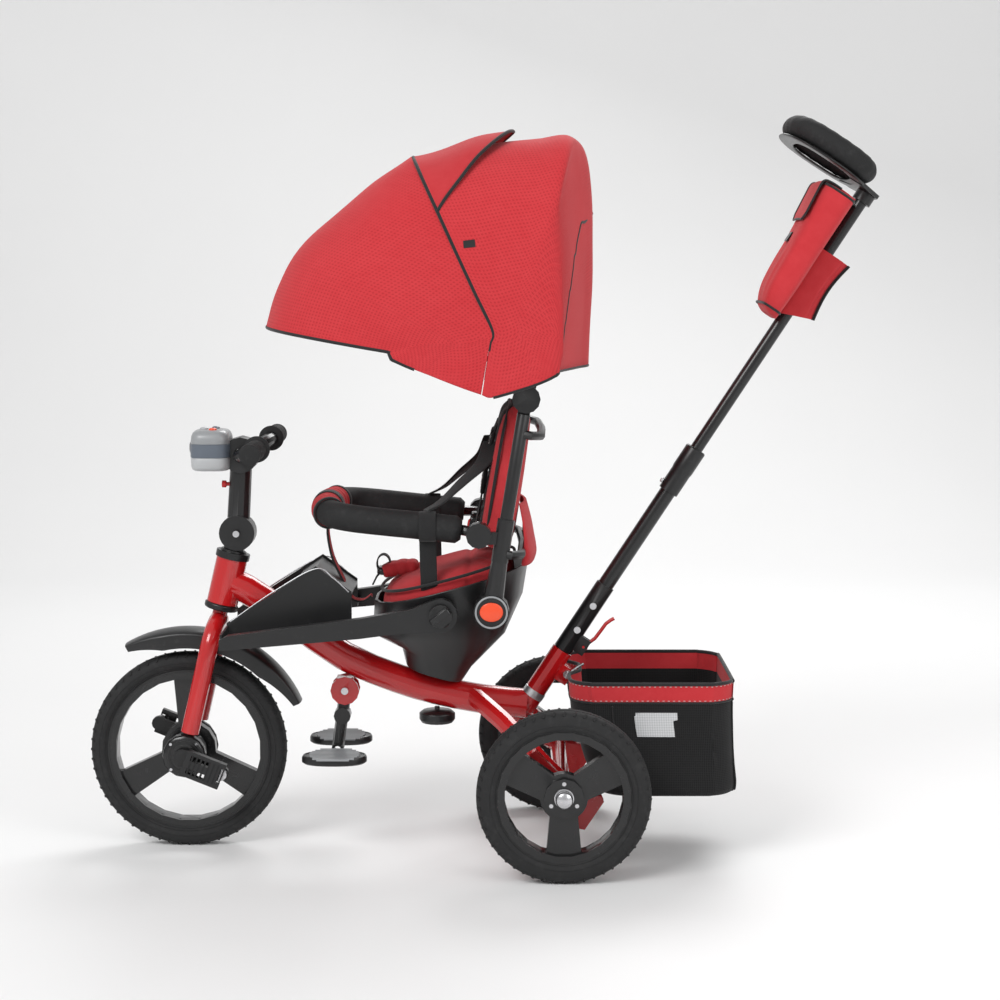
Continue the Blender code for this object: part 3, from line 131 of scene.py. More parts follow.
def post(s, y=0.0, forward=0.0):
    """Point on the backrest's posts, s above the recline pin."""
    return RECLINE + s * POST_DIR + forward * POST_FRONT + y * Y


# ---------------------------------------------------------------- sizes and colours a user may change
class TricycleColours(PropertyGroup):
    """Base colours of the main finishes."""

    paint: FloatVectorProperty(name="Frame paint", description="Gloss enamel of frame and fork",
                               subtype="COLOR", size=3, default=(0.50, 0.008, 0.010), min=0, max=1)
    cloth: FloatVectorProperty(name="Red cloth", description="Canopy, cushions and bag",
                               subtype="COLOR", size=3, default=(0.56, 0.010, 0.018), min=0, max=1)
    dark_cloth: FloatVectorProperty(name="Black cloth", description="Basket, straps and piping",
                                    subtype="COLOR", size=3, default=(0.0055, 0.0055, 0.0060), min=0, max=1)
    plastic: FloatVectorProperty(name="Black plastic", description="Moulded black pieces",
                                 subtype="COLOR", size=3, default=(0.0055, 0.0055, 0.0060), min=0, max=1)
    console: FloatVectorProperty(name="Grey plastic", description="Toy console and foot pegs",
                                 subtype="COLOR", size=3, default=(0.27, 0.28, 0.29), min=0, max=1)


class TricycleSizes(PropertyGroup):
    """Sizes of the fine detail."""

    yarn: FloatProperty(name="Yarn pitch", description="Distance between two yarns of the cloth",
                        default=0.0009, min=0.0003, max=0.004, precision=4, unit="LENGTH")
    eyelet: FloatProperty(name="Eyelet pitch", description="Distance between two dimples of the canopy",
                          default=0.0052, min=0.002, max=0.02, precision=4, unit="LENGTH")
    piping: FloatProperty(name="Piping radius", description="Radius of the dark bound edges",
                          default=0.0024, min=0.001, max=0.006, precision=4, unit="LENGTH")
    stitch: FloatProperty(name="Stitch length", description="Length of one visible stitch",
                          default=0.0040, min=0.002, max=0.01, precision=4, unit="LENGTH")
    webbing: FloatProperty(name="Webbing width", description="Width of the harness straps",
                           default=0.0250, min=0.01, max=0.05, precision=4, unit="LENGTH")
    lugs: IntProperty(name="Tread lugs", description="Tread lugs on each shoulder of a tyre",
                      default=60, min=12, max=180)


# ---------------------------------------------------------------- shader boards
class Wire:
    """An output socket that can be added to, scaled and so on."""

    def __init__(self, board, socket):
        self.board = board
        self.socket = socket

    def _math(self, operation, first, second=None):
        values = {0: first}
        if second is not None:
            values[1] = second
        return self.board.node("ShaderNodeMath", {"operation": operation}, values)

    def __add__(self, other):
        return self._math("ADD", self, other)

    __radd__ = __add__

    def __sub__(self, other):
        return self._math("SUBTRACT", self, other)

    def __rsub__(self, other):
        return self._math("SUBTRACT", other, self)

    def __mul__(self, other):
        return self._math("MULTIPLY", self, other)

    __rmul__ = __mul__

    def sine(self):
        return self._math("SINE", self)

    def size(self):
        return self._math("ABSOLUTE", self)

    def above(self, other):
        return self._math("GREATER_THAN", self, other)


class Board:
    """A material's node tree, with its Principled shader."""

    def __init__(self, name):
        self.material = bpy.data.materials.new(name)
        self.material.use_nodes = True
        self.tree = self.material.node_tree
        self.shader = self.tree.nodes["Principled BSDF"]

    def node(self, kind, settings=None, values=None, output=0, stops=None):
        made = self.tree.nodes.new(kind)
        for key, value in (settings or {}).items():
            setattr(made, key, value)
        if stops:
            for element, (place, level) in zip(made.color_ramp.elements, stops):
                element.position = place
                element.color = (level, level, level, 1.0)
        for key, value in (values or {}).items():
            self.feed(made.inputs[key], value)
        return Wire(self, made.outputs[output])

    def feed(self, socket, value):
        if isinstance(value, Wire):
            self.tree.links.new(value.socket, socket)
        else:
            socket.default_value = value

    def set(self, **values):
        for key, value in values.items():
            self.feed(self.shader.inputs[key.replace("_", " ")], value)

    def place(self, uv=False):
        return self.node("ShaderNodeTexCoord", output=2 if uv else 3)

    def parts(self, vector):
        return [self.node("ShaderNodeSeparateXYZ", {}, {"Vector": vector}, output=k) for k in range(3)]

    def noise(self, vector, scale, detail=3.0, roughness=0.5):
        return self.node("ShaderNodeTexNoise", {}, {"Vector": vector, "Scale": scale, "Detail": detail,
                                                    "Roughness": roughness})

    def cells(self, vector, scale, randomness=1.0):
        return self.node("ShaderNodeTexVoronoi", {}, {"Vector": vector, "Scale": scale,
                                                      "Randomness": randomness})

    def ramp(self, value, low, high):
        """0 below low, 1 above high, a straight line between."""
        return self.node("ShaderNodeMapRange", {"clamp": True},
                         {"Value": value, "From Min": low, "From Max": high})

    def tint(self, first, second, factor):
        return self.node("ShaderNodeMix", {"data_type": "RGBA"},
                         {0: factor, 6: (*first, 1.0), 7: (*second, 1.0)}, output=2)

    def bump(self, height, distance, strength=1.0):
        """Height is from 0 to 1 over a relief of the given depth."""
        return self.node("ShaderNodeBump", {}, {"Height": height, "Distance": distance,
                                                "Strength": strength})


def shade(colour, factor):
    return tuple(min(1.0, c * factor) for c in colour)


def lighter(colour, amount):
    return tuple(c + (1.0 - c) * amount for c in colour)


def enamel(name, colour):
    """Gloss paint with a faint orange peel and a few dusty scuffs."""
    board = Board(name)
    where = board.place()
    peel = board.noise(where, 420.0, 2.0)
    broad = board.noise(where, 9.0, 4.0)
    scuff = board.ramp(board.noise(where, 60.0, 6.0, 0.7), 0.66, 0.74)
    board.set(Base_Color=board.tint(shade(colour, 0.88), shade(colour, 1.12), broad),
              Roughness=0.17 + broad * 0.08 + scuff * 0.12, Metallic=0.0,
              Normal=board.bump(peel, 0.00012, 0.35))
    board.set(Coat_Weight=0.6)
    board.shader.inputs["Coat Roughness"].default_value = 0.06
    return board.material


def moulded(name, colour, rough, grain=0.00006, worn=0.03):
    """Moulded plastic: a fine grain, with paler rubbed patches."""
    board = Board(name)
    where = board.place()
    fine = board.noise(where, 1500.0, 2.0)
    broad = board.noise(where, 14.0, 5.0, 0.6)
    rubbed = board.ramp(board.noise(where, 85.0, 7.0, 0.75), 0.60, 0.78)
    board.set(Base_Color=board.tint(colour, lighter(colour, worn), rubbed * 0.6 + broad * 0.25),
              Roughness=rough - 0.06 + broad * 0.12 + rubbed * 0.10,
              Normal=board.bump(fine, grain, 0.5))
    return board.material


def rubber(name, colour, pores):
    """Matt rubber or foam skin with pores of the given pitch."""
    board = Board(name)
    where = board.place()
    pore = board.cells(where, 1.0 / pores)
    broad = board.noise(where, 22.0, 5.0, 0.6)
    dust = board.ramp(board.noise(where, 70.0, 6.0, 0.7), 0.52, 0.80)
    board.set(Base_Color=board.tint(colour, lighter(colour, 0.022), dust * 0.7 + broad * 0.2),
              Roughness=0.70 + broad * 0.18, Normal=board.bump(pore, 0.25 * pores, 0.45))
    return board.material


def plated(name, colour, rough):
    """Plated steel with fine brushed lines."""
    board = Board(name)
    where = board.place()
    x, y, z = board.parts(where)
    lines = board.noise(board.node("ShaderNodeCombineXYZ", {}, {0: x * 40.0, 1: y * 900.0, 2: z * 40.0}),
                        1.0, 3.0)
    broad = board.noise(where, 35.0, 4.0)
    board.set(Base_Color=board.tint(shade(colour, 0.85), colour, broad), Metallic=1.0,
              Roughness=rough + lines * 0.10 + broad * 0.05, Normal=board.bump(lines, 0.00004, 0.3))
    return board.material


def weave_height(first, second, pitch):
    """Plain weave: two sets of yarns that pass over each other by turns."""
    turn = math.pi / pitch
    a, b = (first * turn).sine(), (second * turn).sine()
    return (a * b + 1.0) * 0.5


def cloth(name, colour, pitch, uv=False, eyelets=0.0, mesh=0.0, sheen=0.08, tone_and_weave_shade=0.10):
    """Woven cloth, its colour darkened by painted shade in the valleys of the weave, in the dimples and in the net
    holes. The weave follows the UV map in metres, or the object's three planes.
    """
    board = Board(name)
    where = board.place(uv)
    x, y, z = board.parts(where)
    if uv:
        height = weave_height(x, y, pitch)
    else:
        normal = board.node("ShaderNodeTexCoord", output=1)
        nx, ny, nz = (part.size() for part in board.parts(normal))
        side = ny.above(nx) * ny.above(nz)
        top = nz.above(nx) * (1.0 - side)
        height = (weave_height(x, z, pitch) * side + weave_height(x, y, pitch) * top
                  + weave_height(y, z, pitch) * (1.0 - side - top))
    slub = board.noise(where, 55.0, 5.0, 0.7)
    broad = board.noise(where, 5.5, 4.0, 0.6)
    # Colour is darker in the weave's valleys and lighter on its crests as painted shade, and varies with slub and
    # broad noise as random tone.
    colours = board.tint(shade(colour, 1.0 - 2.2 * tone_and_weave_shade), lighter(shade(colour, 1.06), 0.5 * tone_and_weave_shade),
                         height * 0.25 + slub * 0.40 + broad * 0.35)
    if eyelets:
        dot = board.cells(where, 1.0 / eyelets, 0.0)
        hole = 1.0 - board.ramp(dot, 0.20, 0.34)
        patch = board.ramp(board.noise(where, 3.1, 2.0), 0.42, 0.50)
        hole = hole * patch
        # Painted shade: each dimple is darkened toward deep red, on top of its lower bump height.
        colours = board.node("ShaderNodeMix", {"data_type": "RGBA"},
                             {0: hole * 0.32, 6: colours, 7: (*shade(colour, 0.35), 1.0)}, output=2)
        height = height * 0.5 + (1.0 - hole) * 0.5
    if mesh:
        dot = board.cells(where, 1.0 / mesh, 0.0)
        hole = 1.0 - board.ramp(dot, 0.25, 0.40)
        # Painted shade: each hole of the net is darkened, standing in for the shade seen through it.
        colours = board.node("ShaderNodeMix", {"data_type": "RGBA"},
                             {0: hole * 0.8, 6: colours, 7: (*shade(colour, 0.2), 1.0)}, output=2)
        height = height * 0.4 + (1.0 - hole) * 0.6
    board.set(Base_Color=colours, Roughness=0.86 + slub * 0.10,
              Normal=board.bump(height, 0.30 * pitch + 0.03 * eyelets, 0.6))
    board.shader.inputs["Sheen Weight"].default_value = sheen
    board.shader.inputs["Sheen Roughness"].default_value = 0.5
    board.shader.inputs["Specular IOR Level"].default_value = 0.25
    return board.material


def reflective(name):
    """Silver safety tape: a grid of small glass beads."""
    board = Board(name)
    x, y, z = board.parts(board.place())
    grid = ((x + y * 0.7) * 1250.0).sine() * (z * 1250.0).sine()
    lines = board.ramp(grid.size(), 0.02, 0.35)
    board.set(Base_Color=board.tint((0.30, 0.31, 0.32), (0.66, 0.67, 0.68), lines),
              Roughness=0.45 - lines * 0.15, Metallic=0.35, Normal=board.bump(lines, 0.0001, 0.4))
    return board.material


def clear_lens(name, colour):
    board = Board(name)
    smear = board.noise(board.place(), 40.0, 5.0, 0.7)
    board.set(Base_Color=board.tint(colour, lighter(colour, 0.04), smear), Roughness=0.06 + smear * 0.10)
    board.set(Coat_Weight=1.0)
    return board.material


FINISH = {}


def make_finishes(colours, sizes):
    paint, fabric, dark = colours.paint, colours.cloth, colours.dark_cloth
    plastic, grey = colours.plastic, colours.console
    yarn = sizes.yarn
    FINISH["red_paint"] = enamel("red_paint_look", paint)
    FINISH["black_plastic"] = moulded("black_plastic_look", plastic, 0.34)
    FINISH["gloss_black"] = moulded("gloss_black_look", plastic, 0.22, 0.00003, 0.05)
    FINISH["black_tube"] = moulded("black_tube_look", shade(plastic, 0.9), 0.24, 0.00005, 0.05)
    FINISH["tyre"] = rubber("tyre_look", (0.009, 0.009, 0.0095), 0.0016)
    FINISH["foam"] = rubber("foam_look", (0.006, 0.006, 0.0065), 0.0022)
    FINISH["grip_rubber"] = rubber("grip_rubber_look", (0.006, 0.006, 0.0065), 0.0010)
    FINISH["steel"] = plated("steel_look", (0.66, 0.66, 0.68), 0.20)
    FINISH["silver_band"] = plated("silver_band_look", (0.72, 0.73, 0.75), 0.34)
    FINISH["red_cloth"] = cloth("red_cloth_look", fabric, yarn, uv=True)
    FINISH["red_canopy"] = cloth("red_canopy_look", fabric, yarn, uv=True, eyelets=sizes.eyelet)
    FINISH["red_pad"] = cloth("red_pad_look", shade(fabric, 0.92), yarn)
    FINISH["black_cloth"] = cloth("black_cloth_look", dark, 1.2 * yarn, uv=True, sheen=0.12, tone_and_weave_shade=0.04)
    FINISH["black_pad"] = cloth("black_pad_look", dark, 1.2 * yarn, sheen=0.12, tone_and_weave_shade=0.04)
    FINISH["black_net"] = cloth("black_net_look", dark, yarn, uv=True, mesh=0.0026, sheen=0.10, tone_and_weave_shade=0.04)
    FINISH["webbing"] = cloth("webbing_look", shade(dark, 1.1), 1.6 * yarn, sheen=0.15, tone_and_weave_shade=0.05)
    FINISH["piping"] = cloth("piping_look", shade(dark, 1.5), yarn, sheen=0.2, tone_and_weave_shade=0.05)
    FINISH["thread"] = cloth("thread_look", (0.52, 0.50, 0.48), 0.6 * yarn, sheen=0.1)
    FINISH["grey_plastic"] = moulded("grey_plastic_look", grey, 0.30, 0.00004, 0.10)
    FINISH["pale_plastic"] = moulded("pale_plastic_look", (0.42, 0.43, 0.44), 0.38, 0.00004, 0.10)
    FINISH["blue_grey"] = moulded("blue_grey_look", (0.10, 0.12, 0.15), 0.30, 0.00004, 0.10)
    FINISH["orange_plastic"] = moulded("orange_plastic_look", (0.82, 0.075, 0.020), 0.26, 0.00003, 0.05)
    FINISH["red_plastic"] = moulded("red_plastic_look", (0.52, 0.012, 0.014), 0.26, 0.00003, 0.05)
    FINISH["reflective"] = reflective("reflective_look")
    FINISH["lens"] = clear_lens("lens_look", (0.012, 0.014, 0.022))


# ---------------------------------------------------------------- mesh building
class Shape:
    """Corners and faces that become one mesh; a face remembers which finish it wears."""

    def __init__(self):
        self.verts, self.faces, self.wears, self.uvs = [], [], [], {}

    def add(self, made, wear=0):
        verts, faces = made
        base = len(self.verts)
        self.verts += [Vector(v) for v in verts]
        self.faces += [[base + i for i in face] for face in faces]
        self.wears += [wear] * len(faces)
        return self

    def mesh(self, name):
        mesh = bpy.data.meshes.new(name)
        mesh.from_pydata([tuple(v) for v in self.verts], [], self.faces)
        for face, wear in zip(mesh.polygons, self.wears):
            face.material_index = wear
        return mesh


def across(axis):
    """Two directions square to an axis, and to each other."""
    axis = Vector(axis).normalized()
    first = Y.cross(axis) if abs(axis.dot(Y)) < 0.9 else Z.cross(axis)
    first.normalize()
    return first, axis.cross(first)


def skin(rings, wrap=True, close=False, caps=True):
    """Faces between rings of corners; wrap joins a ring's ends, close joins last ring to first."""
    count = len(rings[0])
    verts = [p for ring in rings for p in ring]
    faces = []
    spans = len(rings) if close else len(rings) - 1
    for i in range(spans):
        a, b = i * count, ((i + 1) % len(rings)) * count
        for k in range(count if wrap else count - 1):
            n = (k + 1) % count
            faces.append((a + k, a + n, b + n, b + k))
    if caps and wrap and not close:
        faces.append(tuple(reversed(range(count))))
        faces.append(tuple(range(len(verts) - count, len(verts))))
    return verts, faces


def lathe(profile, at, axis=Y, steps=72, ring=False):
    """Profile of (radius, height along axis) turned round the axis; ring closes it on itself."""
    axis = Vector(axis).normalized()
    u, v = across(axis)
    rings = []
    for k in range(steps):
        a = 2 * math.pi * k / steps
        out = math.cos(a) * u + math.sin(a) * v
        rings.append([Vector(at) + h * axis + max(r, 0.0) * out for r, h in profile])
    verts, faces = skin(rings, wrap=ring, close=True, caps=False)
    return verts, faces


def even_path(points, count, closed=False):
    """Smooth curve through the points, cut into count evenly spaced ones."""
    pts = [Vector(p) for p in points]
    n = len(pts)
    fine = []
    spans = n if closed else n - 1
    for i in range(spans):
        if closed:
            p0, p1, p2, p3 = pts[i - 1], pts[i], pts[(i + 1) % n], pts[(i + 2) % n]
        else:
            p1, p2 = pts[i], pts[i + 1]
            p0 = pts[i - 1] if i else 2 * p1 - p2
            p3 = pts[i + 2] if i + 2 < n else 2 * p2 - p1
        for k in range(16):
            t = k / 16
            fine.append(0.5 * (2 * p1 + (p2 - p0) * t + (2 * p0 - 5 * p1 + 4 * p2 - p3) * t * t
                               + (3 * p1 - p0 - 3 * p2 + p3) * t ** 3))
    fine.append(pts[0] if closed else pts[-1])
    run = [0.0]
    for a, b in zip(fine, fine[1:]):
        run.append(run[-1] + (b - a).length)
    out, j = [], 0
    for k in range(count):
        want = run[-1] * k / (count if closed else count - 1)
        while j < len(run) - 2 and run[j + 1] < want:
            j += 1
        span = max(run[j + 1] - run[j], 1e-9)
        out.append(fine[j].lerp(fine[j + 1], (want - run[j]) / span))
    return out


def directions(path, closed=False):
    n = len(path)
    out = []
    for i in range(n):
        a = path[i - 1] if i or closed else path[0]
        b = path[(i + 1) % n] if i < n - 1 or closed else path[-1]
        out.append((b - a).normalized())
    return out


def pipe(path, radius, sides=20, closed=False, caps=True, up=None):
    """Tube along a path. radius is a number or a function of the share of the way, and gives
    (width, depth) for a flat strap, whose width lies square to up."""
    run = directions(path, closed)
    side = None
    rings = []
    for i, (p, d) in enumerate(zip(path, run)):
        share = i / max(1, len(path) - 1)
        if up is not None:
            lift = Vector(up(share) if callable(up) else up)
            side = d.cross(lift).normalized()
        elif side is None:
            side = across(d)[0]
        else:
            side = (side - side.dot(d) * d).normalized()
        lift = side.cross(d)
        size = radius(share) if callable(radius) else radius
        wide, deep = size if hasattr(size, "__len__") else (size, size)
        ring = []
        for k in range(sides):
            a = 2 * math.pi * (k + 0.5) / sides
            c, s = math.cos(a), math.sin(a)
            if wide > 1.8 * deep:
                c = math.copysign(abs(c) ** 0.35, c)
            ring.append(p + wide * c * side + deep * s * lift)
        rings.append(ring)
    return skin(rings, close=closed, caps=caps and not closed)


def slab(size, at, turn=None):
    """Block of the given size; turn is a rotation matrix."""
    hx, hy, hz = (0.5 * c for c in size)
    outline = [(-hx, -hy), (hx, -hy), (hx, hy), (-hx, hy)]
    rings = []
    for z in (-hz, hz):
        ring = [Vector((x, y, z)) for x, y in outline]
        rings.append([Vector(at) + (turn @ p if turn else p) for p in ring])
    return skin(rings)


def frame_of(first, second):
    """Rotation whose X and Y axes lie along the given directions."""
    a = Vector(first).normalized()
    b = (Vector(second) - Vector(second).dot(a) * a).normalized()
    return Matrix((a, b, a.cross(b))).transposed()


def settle(mesh, doubles=0.000002):
    """Merge shared corners and turn the faces outwards."""
    bm = bmesh.new()
    bm.from_mesh(mesh)
    bmesh.ops.remove_doubles(bm, verts=bm.verts, dist=doubles)
    bmesh.ops.recalc_face_normals(bm, faces=bm.faces)
    bm.to_mesh(mesh)
    bm.free()


def piece(name, shape, body, finishes, slot=None, replaces=(), sharp=40.0, bevel=0.0, smooth=0,
          wall=0.0, tidy=True):
    """Turn a shape into a finished object that rides on a body."""
    mesh = shape.mesh(name) if isinstance(shape, Shape) else shape
    if tidy:
        settle(mesh)
    obj = bpy.data.objects.new(name, mesh)
    bpy.context.scene.collection.objects.link(obj)
    for finish in [finishes] if isinstance(finishes, str) else finishes:
        mesh.materials.append(FINISH[finish])
    mesh.shade_smooth()
    mesh.set_sharp_from_angle(angle=math.radians(sharp))
    if wall:
        mod = obj.modifiers.new("wall", "SOLIDIFY")
        mod.thickness = abs(wall)
        mod.offset = 1.0 if wall > 0 else -1.0
    if bevel:
        mod = obj.modifiers.new("rounded", "BEVEL")
        mod.width = bevel
        mod.segments = 2
        mod.limit_method = "ANGLE"
        mod.angle_limit = math.radians(35)
        mod.harden_normals = False
    if smooth:
        mod = obj.modifiers.new("smooth", "SUBSURF")
        mod.levels = mod.render_levels = smooth
    if replaces:
        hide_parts(*replaces)
    if body:
        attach(obj, body)
    return obj


def body_of_node(node):
    bodies = frame["record"]["behaviour"]["bodies"]
    return next(body for body, nodes in bodies.items() if node in nodes)


def slot_of_node(node):
    return next(s["material_slot"] for s in frame["record"]["subparts"] if s["node"] == node)


def refined(node, finish, bevel=0.0008, sharp=40.0):
    """A moulded node as it is made: its facets joined, rounded edges, smooth round faces."""
    bm = bmesh.new()
    bm.from_mesh(frame["nodes"][node].data)
    bmesh.ops.remove_doubles(bm, verts=bm.verts, dist=0.00001)
    bmesh.ops.dissolve_limit(bm, angle_limit=math.radians(0.8), verts=bm.verts, edges=bm.edges)
    mesh = bpy.data.meshes.new(node + "_finished")
    bm.to_mesh(mesh)
    bm.free()
    return piece(node + "_finished", mesh, body_of_node(node), finish, slot_of_node(node), [node],
                 sharp=sharp, bevel=bevel, tidy=False)


# ---------------------------------------------------------------- repeated pieces by geometry nodes
def repeat_tree(kind):
    """Node tree that stands a small solid on every point, turned by the point's "turn"."""
    tree = bpy.data.node_groups.new("repeat_" + kind, "GeometryNodeTree")
    face = tree.interface
    face.new_socket("Points", in_out="INPUT", socket_type="NodeSocketGeometry")
    face.new_socket("Length", in_out="INPUT", socket_type="NodeSocketFloat")
    face.new_socket("Width", in_out="INPUT", socket_type="NodeSocketFloat")
    face.new_socket("Height", in_out="INPUT", socket_type="NodeSocketFloat")
    face.new_socket("Finish", in_out="INPUT", socket_type="NodeSocketMaterial")
    face.new_socket("Made", in_out="OUTPUT", socket_type="NodeSocketGeometry")
    nodes, links = tree.nodes, tree.links
    start, end = nodes.new("NodeGroupInput"), nodes.new("NodeGroupOutput")
    size = nodes.new("ShaderNodeCombineXYZ")
    for k in range(3):
        links.new(start.outputs[1 + k], size.inputs[k])
    if kind == "block":
        unit = nodes.new("GeometryNodeMeshCube")
        unit.inputs["Size"].default_value = (1, 1, 1)
    elif kind == "disc":
        unit = nodes.new("GeometryNodeMeshCylinder")
        unit.inputs["Vertices"].default_value = 20
        unit.inputs["Radius"].default_value = 0.5
        unit.inputs["Depth"].default_value = 1.0
    else:
        unit = nodes.new("GeometryNodeMeshUVSphere")
        unit.inputs["Segments"].default_value = 8
        unit.inputs["Rings"].default_value = 5
        unit.inputs["Radius"].default_value = 0.5
    turn = nodes.new("GeometryNodeInputNamedAttribute")
    turn.data_type = "FLOAT_VECTOR"
    turn.inputs["Name"].default_value = "turn"
    stand = nodes.new("GeometryNodeInstanceOnPoints")
    real = nodes.new("GeometryNodeRealizeInstances")
    wear = nodes.new("GeometryNodeSetMaterial")
    links.new(start.outputs[0], stand.inputs["Points"])
    links.new(unit.outputs[0], stand.inputs["Instance"])
    links.new(turn.outputs[0], stand.inputs["Rotation"])
    links.new(size.outputs[0], stand.inputs["Scale"])
    links.new(stand.outputs[0], real.inputs[0])
    links.new(real.outputs[0], wear.inputs["Geometry"])
    links.new(start.outputs[4], wear.inputs["Material"])
    links.new(wear.outputs[0], end.inputs[0])
    return tree


def repeated(name, kind, places, size, finish, body, smooth=True):
    """One object of many like solids. places holds (point, rotation matrix) pairs."""
    tree = bpy.data.node_groups.get("repeat_" + kind) or repeat_tree(kind)
    mesh = bpy.data.meshes.new(name)
    mesh.from_pydata([tuple(p) for p, _ in places], [], [])
    turn = mesh.attributes.new("turn", "FLOAT_VECTOR", "POINT")
    turn.data.foreach_set("vector", [c for _, m in places for c in m.to_euler()])
    obj = bpy.data.objects.new(name, mesh)
    bpy.context.scene.collection.objects.link(obj)
    mod = obj.modifiers.new("repeat", "NODES")
    mod.node_group = tree
    sockets = {s.name: s.identifier for s in tree.interface.items_tree if s.in_out == "INPUT"}
    for key, value in zip(("Length", "Width", "Height"), size):
        mod[sockets[key]] = value
    mod[sockets["Finish"]] = FINISH[finish]
    bpy.context.view_layer.update()
    made = bpy.data.meshes.new_from_object(obj.evaluated_get(bpy.context.evaluated_depsgraph_get()))
    obj.modifiers.remove(mod)
    obj.data = made
    bpy.data.meshes.remove(mesh)
    made.name = name
    if not made.materials:
        made.materials.append(FINISH[finish])
    if smooth:
        made.shade_smooth()
        made.set_sharp_from_angle(angle=math.radians(50))
    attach(obj, body)
    return obj


def stitches(name, paths, normals, body, finish="thread", gap=1.9):
    """Running stitch along paths; normals(point, direction) gives the cloth's outward side."""
    length = bpy.context.scene.tricycle_sizes.stitch
    places = []
    for path in paths:
        total = sum((b - a).length for a, b in zip(path, path[1:]))
        count = max(2, int(total / (gap * length)))
        run = even_path(path, count)
        for p, d in zip(run, directions(run)):
            places.append((p, frame_of(d, normals(p, d).cross(d))))
    return repeated(name, "bead", places, (length, 0.0011, 0.0009), finish, body)


def screws(name, places, radius, height, finish, body):
    """Round screw heads; places holds (point, direction) pairs."""
    turned = [(p, frame_of(across(d)[0], across(d)[1])) for p, d in places]
    return repeated(name, "disc", turned, (2 * radius, 2 * radius, height), finish, body)


# ---------------------------------------------------------------- padded pieces
def plump(name, shape, voxel=0.005, pressure=4.0, cap=0.006):
    """Blow a closed shape up like a stuffed cover, no point moving further than cap."""
    mesh = shape.mesh(name)
    settle(mesh)
    obj = bpy.data.objects.new(name, mesh)
    bpy.context.scene.collection.objects.link(obj)
    remesh = obj.modifiers.new("even", "REMESH")
    remesh.mode = "VOXEL"
    remesh.voxel_size = voxel
    bpy.context.view_layer.update()
    even = bpy.data.meshes.new_from_object(obj.evaluated_get(bpy.context.evaluated_depsgraph_get()))
    obj.modifiers.remove(remesh)
    obj.data = even
    before = [v.co.copy() for v in even.vertices]
    cloth_mod = obj.modifiers.new("stuffing", "CLOTH")
    cloth_mod.settings.use_pressure = True
    cloth_mod.settings.uniform_pressure_force = pressure
    cloth_mod.settings.effector_weights.gravity = 0.0
    cloth_mod.settings.tension_stiffness = cloth_mod.settings.compression_stiffness = 12.0
    for step in range(1, 21):
        bpy.context.scene.frame_set(step)
    swollen = bpy.data.meshes.new_from_object(obj.evaluated_get(bpy.context.evaluated_depsgraph_get()))
    obj.modifiers.remove(cloth_mod)
    bpy.context.scene.frame_set(1)
    for v, was in zip(swollen.vertices, before):
        move = v.co - was
        if move.length > cap:
            v.co = was + move * (cap / move.length)
    mesh = swollen
    bpy.data.objects.remove(obj)
    bm = bmesh.new()
    bm.from_mesh(mesh)
    for _ in range(4):
        bmesh.ops.smooth_vert(bm, verts=bm.verts, factor=0.5, use_axis_x=True, use_axis_y=True,
                              use_axis_z=True)
    bmesh.ops.recalc_face_normals(bm, faces=bm.faces)
    bm.to_mesh(mesh)
    bm.free()
    return mesh


def dent(mesh, depth_at):
    """Press sewn channels into a mesh: depth_at(point) gives how far the cover is drawn in."""
    moves = [(v, depth_at(v.co), v.normal.copy()) for v in mesh.vertices]
    for v, depth, normal in moves:
        v.co -= depth * normal
    mesh.update()


def groove(distance, width):
    """From 1 on a seam to 0 beyond its width."""
    return math.exp(-(distance / width) ** 2)


def clamp01(value):
    return min(1.0, max(0.0, value))


def ease(value):
    value = clamp01(value)
    return value * value * (3 - 2 * value)


def rounded(count, exponent, phase=0.0):
    """Corners of a rounded square from -1 to 1, count of them."""
    out = []
    for k in range(count):
        a = 2 * math.pi * (k + 0.5) / count + phase
        c, s = math.cos(a), math.sin(a)
        out.append((math.copysign(abs(c) ** exponent, c), math.copysign(abs(s) ** exponent, s)))
    return out


def between(rows, count):
    """Smooth set of count rows through the given rows of numbers."""
    last = len(rows) - 1
    out = []
    for k in range(count):
        t = last * k / (count - 1)
        i = min(int(t), last - 1)
        f = t - i
        p1, p2 = rows[i], rows[i + 1]
        p0 = rows[i - 1] if i else [2 * a - b for a, b in zip(p1, p2)]
        p3 = rows[i + 2] if i + 2 <= last else [2 * b - a for a, b in zip(p1, p2)]
        out.append([0.5 * (2 * b + (c - a) * f + (2 * a - 5 * b + 4 * c - d) * f * f
                           + (3 * b - a - 3 * c + d) * f ** 3)
                    for a, b, c, d in zip(p0, p1, p2, p3)])
    return out


# ---------------------------------------------------------------- cloth sheets
def smooth_grid(rows, down, across_count):
    """Finer grid of points, smooth both ways, through rows of points."""
    flat = [[c for p in row for c in p] for row in rows]
    rows = [[Vector(row[3 * k:3 * k + 3]) for k in range(len(row) // 3)] for row in between(flat, down)]
    out = []
    for row in rows:
        columns = between([list(p) for p in row], across_count)
        out.append([Vector(p) for p in columns])
    return out


